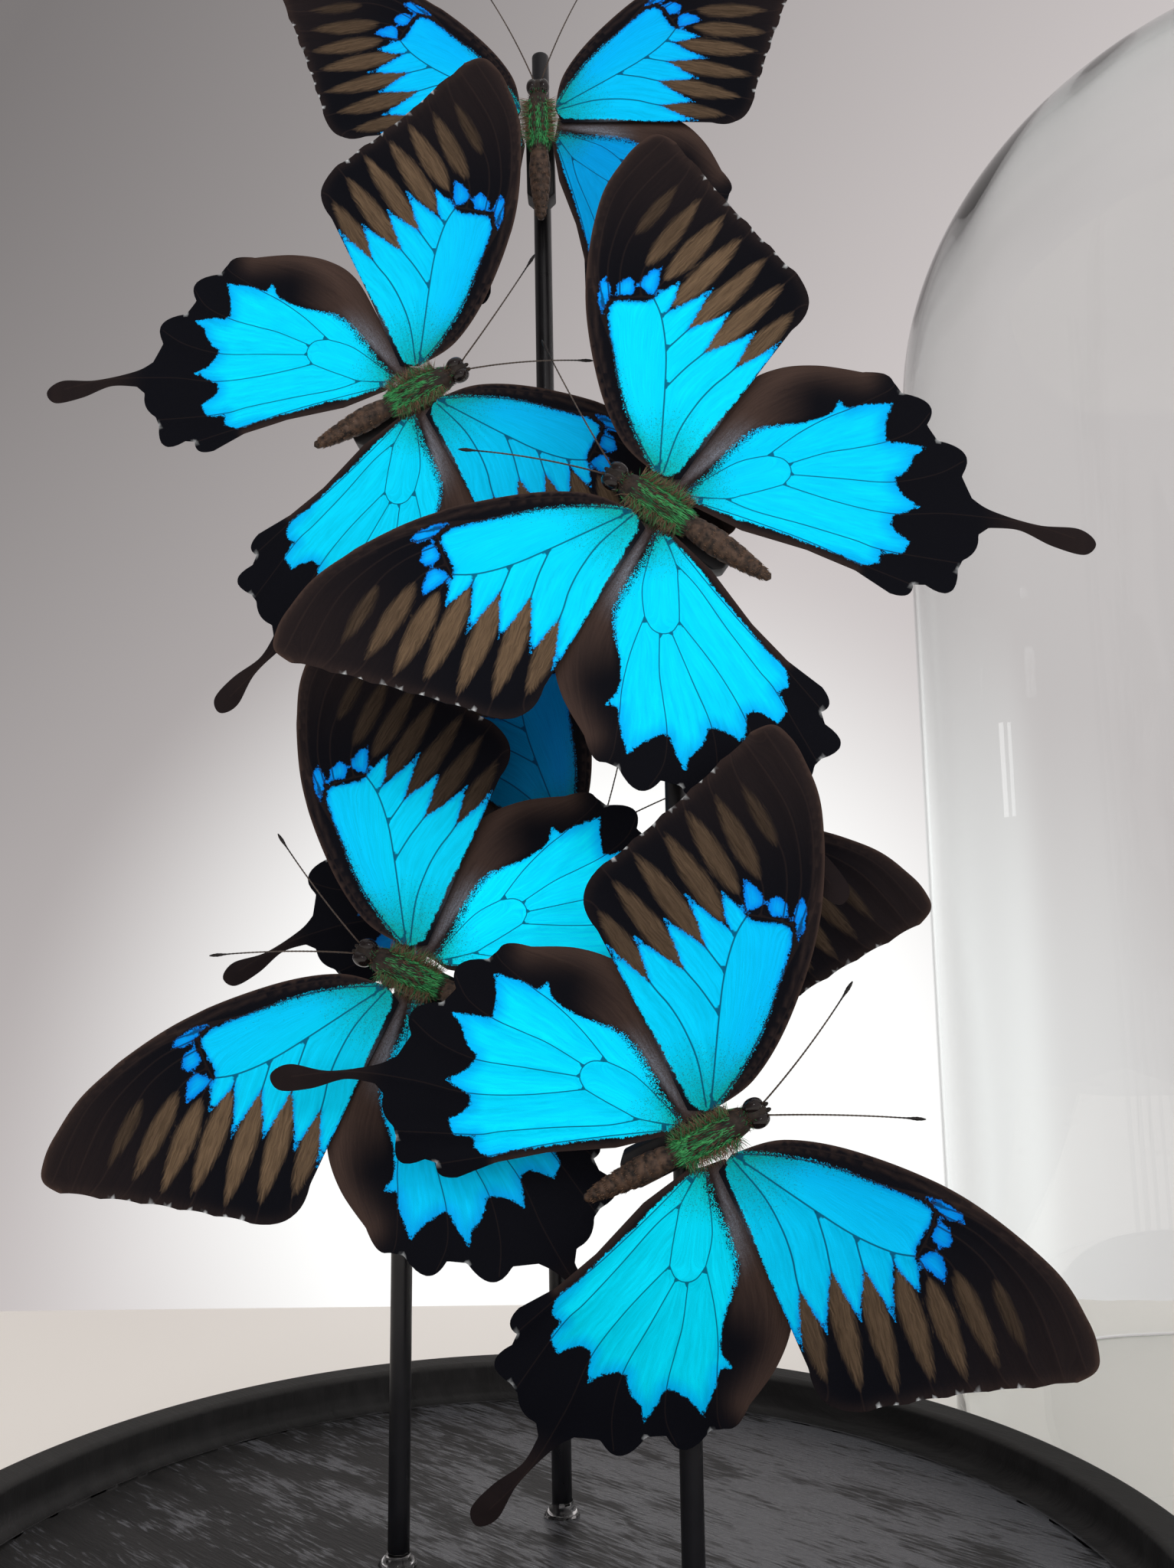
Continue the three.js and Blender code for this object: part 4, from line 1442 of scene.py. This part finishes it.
def build_stage(stage):
    scene = bpy.context.scene
    scene.view_settings.view_transform = "Standard"

    back, front, left, right, drop, curve = 0.262, -0.75, -0.95, 1.15, 0.03, 0.006
    line = [(front, -drop), (front, 0.0), (back - curve, 0.0)]
    for a in np.linspace(0, math.pi / 2, 8)[1:]:
        line.append((back - curve + curve * math.sin(a), -curve + curve * math.cos(a)))
    line.append((back, -drop))
    points = [(x, y, z) for x in (left, right) for y, z in line]
    size = len(line)
    faces = [(i, i + 1, size + i + 1, size + i) for i in range(size - 1)]
    faces.append((size - 1, 0, size, 2 * size - 1))
    faces += [tuple(range(size))[::-1], tuple(range(size, 2 * size))]
    mesh = bpy.data.meshes.new("table_top")
    mesh.from_pydata(points, [], faces)
    mesh.materials.append(table_finish(stage))
    table = bpy.data.objects.new("table_top", mesh)
    scene.collection.objects.link(table)
    face_outwards(table)

    for name, at, towards, size, power, colour in LAMPS:
        data = bpy.data.lights.new(name, "AREA")
        data.shape, data.energy, data.color = "RECTANGLE", stage.key * power, colour
        data.size, data.size_y = size
        lamp = bpy.data.objects.new(name, data)
        lamp.location = at
        lamp.rotation_euler = (Vector(towards) - Vector(at)).to_track_quat("-Z", "Y").to_euler()
        lamp.visible_glossy = lamp.visible_transmission = name.endswith("glint")
        scene.collection.objects.link(lamp)

    world = bpy.data.worlds.new("soft_room")
    scene.world = world
    world.use_nodes = True
    world.node_tree.nodes.clear()
    look = Nodes(world.node_tree)
    own = look.add("TexCoord").outputs["Generated"]
    way = look.add("VectorMath", {0: own}, operation="NORMALIZE").outputs[0]

    def along(direction):
        made = look.add("VectorMath", {0: way, 1: direction}, operation="DOT_PRODUCT")
        return made.outputs["Value"]

    # A grey slope, a paler ceiling, and a glow low behind the butterflies.
    slope = look.plus(along((0.524, 0.0, -0.483)), 0.676)
    wall = look.shaded(stage.room, look.spread(slope, 0.20, 0.60, 0.20, 0.60))
    height = look.add("SeparateXYZ", {0: way}).outputs["Z"]
    wall = look.mix(look.spread(height, 0.68, 0.95), wall, (0.62, 0.60, 0.59))
    halo = look.spread(along(Vector((0.02, 1.0, -0.10)).normalized()), 0.895, 0.974)
    wall = look.mix(look.maths("POWER", halo, 1.6), wall, (1.05, 1.05, 1.04))
    background = look.add("Background", {"Color": wall, "Strength": 1.0}).outputs[0]
    look.add("OutputWorld", {"Surface": background})

    data = bpy.data.cameras.new("main_camera")
    data.sensor_width = 36.0
    data.lens = stage.lens
    data.clip_start, data.clip_end = 0.005, 20
    camera = bpy.data.objects.new("main_camera", data)
    forward = Vector((0, math.cos(CAMERA_PITCH), math.sin(CAMERA_PITCH)))
    level_up = Vector((0, -math.sin(CAMERA_PITCH), math.cos(CAMERA_PITCH)))
    level_right = Vector((1, 0, 0))
    right_way = level_right * math.cos(CAMERA_ROLL) + level_up * math.sin(CAMERA_ROLL)
    up_way = level_up * math.cos(CAMERA_ROLL) - level_right * math.sin(CAMERA_ROLL)
    turn = Matrix([right_way, up_way, -forward]).transposed()
    camera.matrix_world = Matrix.Translation(CAMERA_AT) @ turn.to_4x4()
    scene.collection.objects.link(camera)
    scene.camera = camera


# --------------------------------------------------------------------------- settings

def length_setting(name, description, default):
    return FloatProperty(
        name=name, description=description, default=default, min=0.0,
        unit="LENGTH", subtype="DISTANCE",
    )


def colour_setting(name, description, default):
    return FloatVectorProperty(
        name=name, description=description, default=default, size=3, min=0.0, max=1.0,
        subtype="COLOR",
    )


BASE_LOW, BASE_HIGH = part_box("base")


class BaseSettings(bpy.types.PropertyGroup):
    radius: length_setting("Radius", "Outer radius of the base", (BASE_HIGH.x - BASE_LOW.x) / 2)
    height: length_setting("Height", "Height of the rim above the table", BASE_HIGH.z - BASE_LOW.z)
    rim_width: length_setting("Rim width", "Width of the raised rim", 0.009)
    grain_turn: FloatProperty(
        name="Grain turn", description="Angle of the grain to the front", default=-0.74,
        subtype="ANGLE",
    )
    stain: colour_setting("Stain", "Colour deep in the grain", (0.004, 0.004, 0.004))
    middle: colour_setting("Body", "Colour of the brushed wood", (0.012, 0.0115, 0.0115))
    rim: colour_setting("Rim", "Colour of the rim's top", (0.026, 0.025, 0.024))
    # The worn colour is partly the colour of real scuffs and partly a painted sheen.
    worn: colour_setting("Worn", "Colour of the raised, rubbed grain", (0.062, 0.063, 0.070))


class RodSettings(bpy.types.PropertyGroup):
    radius: length_setting("Radius", "Radius of the rods", 0.002)
    colour: colour_setting("Colour", "Colour of the rods and blocks", (0.004, 0.004, 0.005))


class WingSettings(bpy.types.PropertyGroup):
    thickness: length_setting("Thickness", "Thickness of a wing", 0.00015)
    mesh_step: length_setting("Mesh step", "Distance between a wing's points", 0.00072)
    azure: colour_setting("Azure", "Blue of wings turned away from the light", (0.0, 0.34, 0.95))
    cyan: colour_setting("Cyan", "Blue of the wings that face the light", (0.0, 0.64, 0.98))
    teal: colour_setting("Teal", "Greenest blue", (0.0, 0.62, 0.76))
    royal: colour_setting("Royal blue", "Deep blue at the edge of the blue", (0.0, 0.15, 0.78))
    root: colour_setting("Root green", "Sea green where a wing meets the body", (0.0, 0.34, 0.28))
    gold: colour_setting("Dark green", "Green flecks at the wing root", (0.015, 0.085, 0.035))
    black: colour_setting("Black", "Black scales", (0.0034, 0.0036, 0.0056))
    brown: colour_setting("Brown", "Worn brown edges", (0.051, 0.032, 0.026))
    wool: colour_setting("Pale wool", "Palest woolly streaks of a forewing", (0.118, 0.078, 0.047))
    dark_wool: colour_setting("Dark wool", "Darkest streaks of a forewing", (0.027, 0.019, 0.014))
    lilac: colour_setting("Lilac", "Pale dust beside the body", (0.20, 0.235, 0.29))
    under: colour_setting("Underside", "Underside of the wings", (0.034, 0.023, 0.017))
    under_pale: colour_setting("Underside rays", "Rays of the underside", (0.120, 0.090, 0.066))
    crescent: colour_setting("Crescents", "Crescents under the hindwings", (0.22, 0.09, 0.03))


class BodySettings(bpy.types.PropertyGroup):
    hair_count: IntProperty(
        name="Hairs", description="Hairs on each thorax", default=1500, min=0, max=4000,
    )
    dark: colour_setting("Dark", "Dark body wall", (0.008, 0.006, 0.005))
    brown: colour_setting("Brown", "Brown hair and abdomen", (0.094, 0.052, 0.032))
    tan: colour_setting("Tan", "Palest hair at the wing roots", (0.220, 0.128, 0.078))
    green: colour_setting("Green", "Metallic green hair", (0.006, 0.150, 0.058))
    bright_green: colour_setting("Bright green", "Brightest green hair", (0.10, 0.52, 0.17))


class DomeSettings(bpy.types.PropertyGroup):
    radius: length_setting("Radius", "Outer radius of the dome", 0.107)
    wall: length_setting("Wall", "Thickness of the glass", 0.0024)
    tint: colour_setting("Tint", "Colour of light through thick glass", (0.42, 0.76, 0.72))
    density: FloatProperty(
        name="Tint strength", description="How fast the glass tints light", default=15.0, min=0.0,
    )


class StageSettings(bpy.types.PropertyGroup):
    lens: FloatProperty(
        name="Lens", description="Focal length in millimetres", default=28.83, min=1.0,
    )
    key: FloatProperty(
        name="Key light", description="Power of the main soft light", default=14.0, min=0.0,
        unit="POWER",
    )
    floor: colour_setting("Floor", "Colour of the table", (0.84, 0.80, 0.75))
    room: colour_setting("Room", "Colour of the soft surroundings", (1.0, 0.93, 0.925))


# -------------------------------------------------------------------------- operators

class BUTTERFLY_OT_stage(bpy.types.Operator):
    """Set out the table, the soft lights, the room and the camera"""

    bl_idname = "butterfly.build_stage"
    bl_label = "Stage"

    def execute(self, context):
        build_stage(context.scene.butterfly_stage)
        return {"FINISHED"}


class BUTTERFLY_OT_base(bpy.types.Operator):
    """Turn the black-stained wooden base with its raised rim"""

    bl_idname = "butterfly.build_base"
    bl_label = "Base"

    def execute(self, context):
        build_base(context.scene.butterfly_base)
        return {"FINISHED"}


class BUTTERFLY_OT_rods(bpy.types.Operator):
    """Set the three black rods in their rings of clear glue"""

    bl_idname = "butterfly.build_rods"
    bl_label = "Rods and glue"

    def execute(self, context):
        build_rods(context.scene.butterfly_rods)
        return {"FINISHED"}


class BUTTERFLY_OT_blocks(bpy.types.Operator):
    """Fix a small black block behind each body"""

    bl_idname = "butterfly.build_blocks"
    bl_label = "Blocks"

    def execute(self, context):
        build_blocks(context.scene.butterfly_rods)
        return {"FINISHED"}


class BUTTERFLY_OT_wings(bpy.types.Operator):
    """Spread four patterned wings on each butterfly"""

    bl_idname = "butterfly.build_wings"
    bl_label = "Wings"

    def execute(self, context):
        build_wings(context.scene.butterfly_wings)
        return {"FINISHED"}


class BUTTERFLY_OT_bodies(bpy.types.Operator):
    """Model each head, furry thorax and ringed abdomen, and the feelers"""

    bl_idname = "butterfly.build_bodies"
    bl_label = "Bodies and feelers"

    def execute(self, context):
        build_bodies(context.scene.butterfly_bodies)
        build_antennae()
        return {"FINISHED"}


class BUTTERFLY_OT_dome(bpy.types.Operator):
    """Blow the open-footed glass dome that stands beside the base"""

    bl_idname = "butterfly.build_dome"
    bl_label = "Dome"

    def execute(self, context):
        build_dome(context.scene.butterfly_dome)
        return {"FINISHED"}


OPERATORS = (
    BUTTERFLY_OT_stage,
    BUTTERFLY_OT_base,
    BUTTERFLY_OT_rods,
    BUTTERFLY_OT_blocks,
    BUTTERFLY_OT_wings,
    BUTTERFLY_OT_bodies,
    BUTTERFLY_OT_dome,
)
SETTINGS = {
    "butterfly_stage": StageSettings,
    "butterfly_base": BaseSettings,
    "butterfly_rods": RodSettings,
    "butterfly_wings": WingSettings,
    "butterfly_bodies": BodySettings,
    "butterfly_dome": DomeSettings,
}


class BUTTERFLY_PT_pieces(bpy.types.Panel):
    """Lists the pieces and their settings"""

    bl_idname = "BUTTERFLY_PT_pieces"
    bl_label = "Butterfly dome"
    bl_space_type = "VIEW_3D"
    bl_region_type = "UI"
    bl_category = "Butterfly dome"

    def draw(self, context):
        for operator in OPERATORS:
            self.layout.operator(operator.bl_idname)
        for name in SETTINGS:
            box = self.layout.box()
            group = getattr(context.scene, name)
            for key in group.__annotations__:
                box.prop(group, key)


def register():
    for group in SETTINGS.values():
        bpy.utils.register_class(group)
    for name, group in SETTINGS.items():
        setattr(bpy.types.Scene, name, PointerProperty(type=group))
    for operator in OPERATORS:
        bpy.utils.register_class(operator)
    bpy.utils.register_class(BUTTERFLY_PT_pieces)


def unregister():
    bpy.utils.unregister_class(BUTTERFLY_PT_pieces)
    for operator in reversed(OPERATORS):
        bpy.utils.unregister_class(operator)
    for name in SETTINGS:
        delattr(bpy.types.Scene, name)
    for group in reversed(SETTINGS.values()):
        bpy.utils.unregister_class(group)


def main():
    register()
    for operator in OPERATORS:
        family, action = operator.bl_idname.split(".")
        getattr(getattr(bpy.ops, family), action)()


if __name__ == "__main__":
    main()
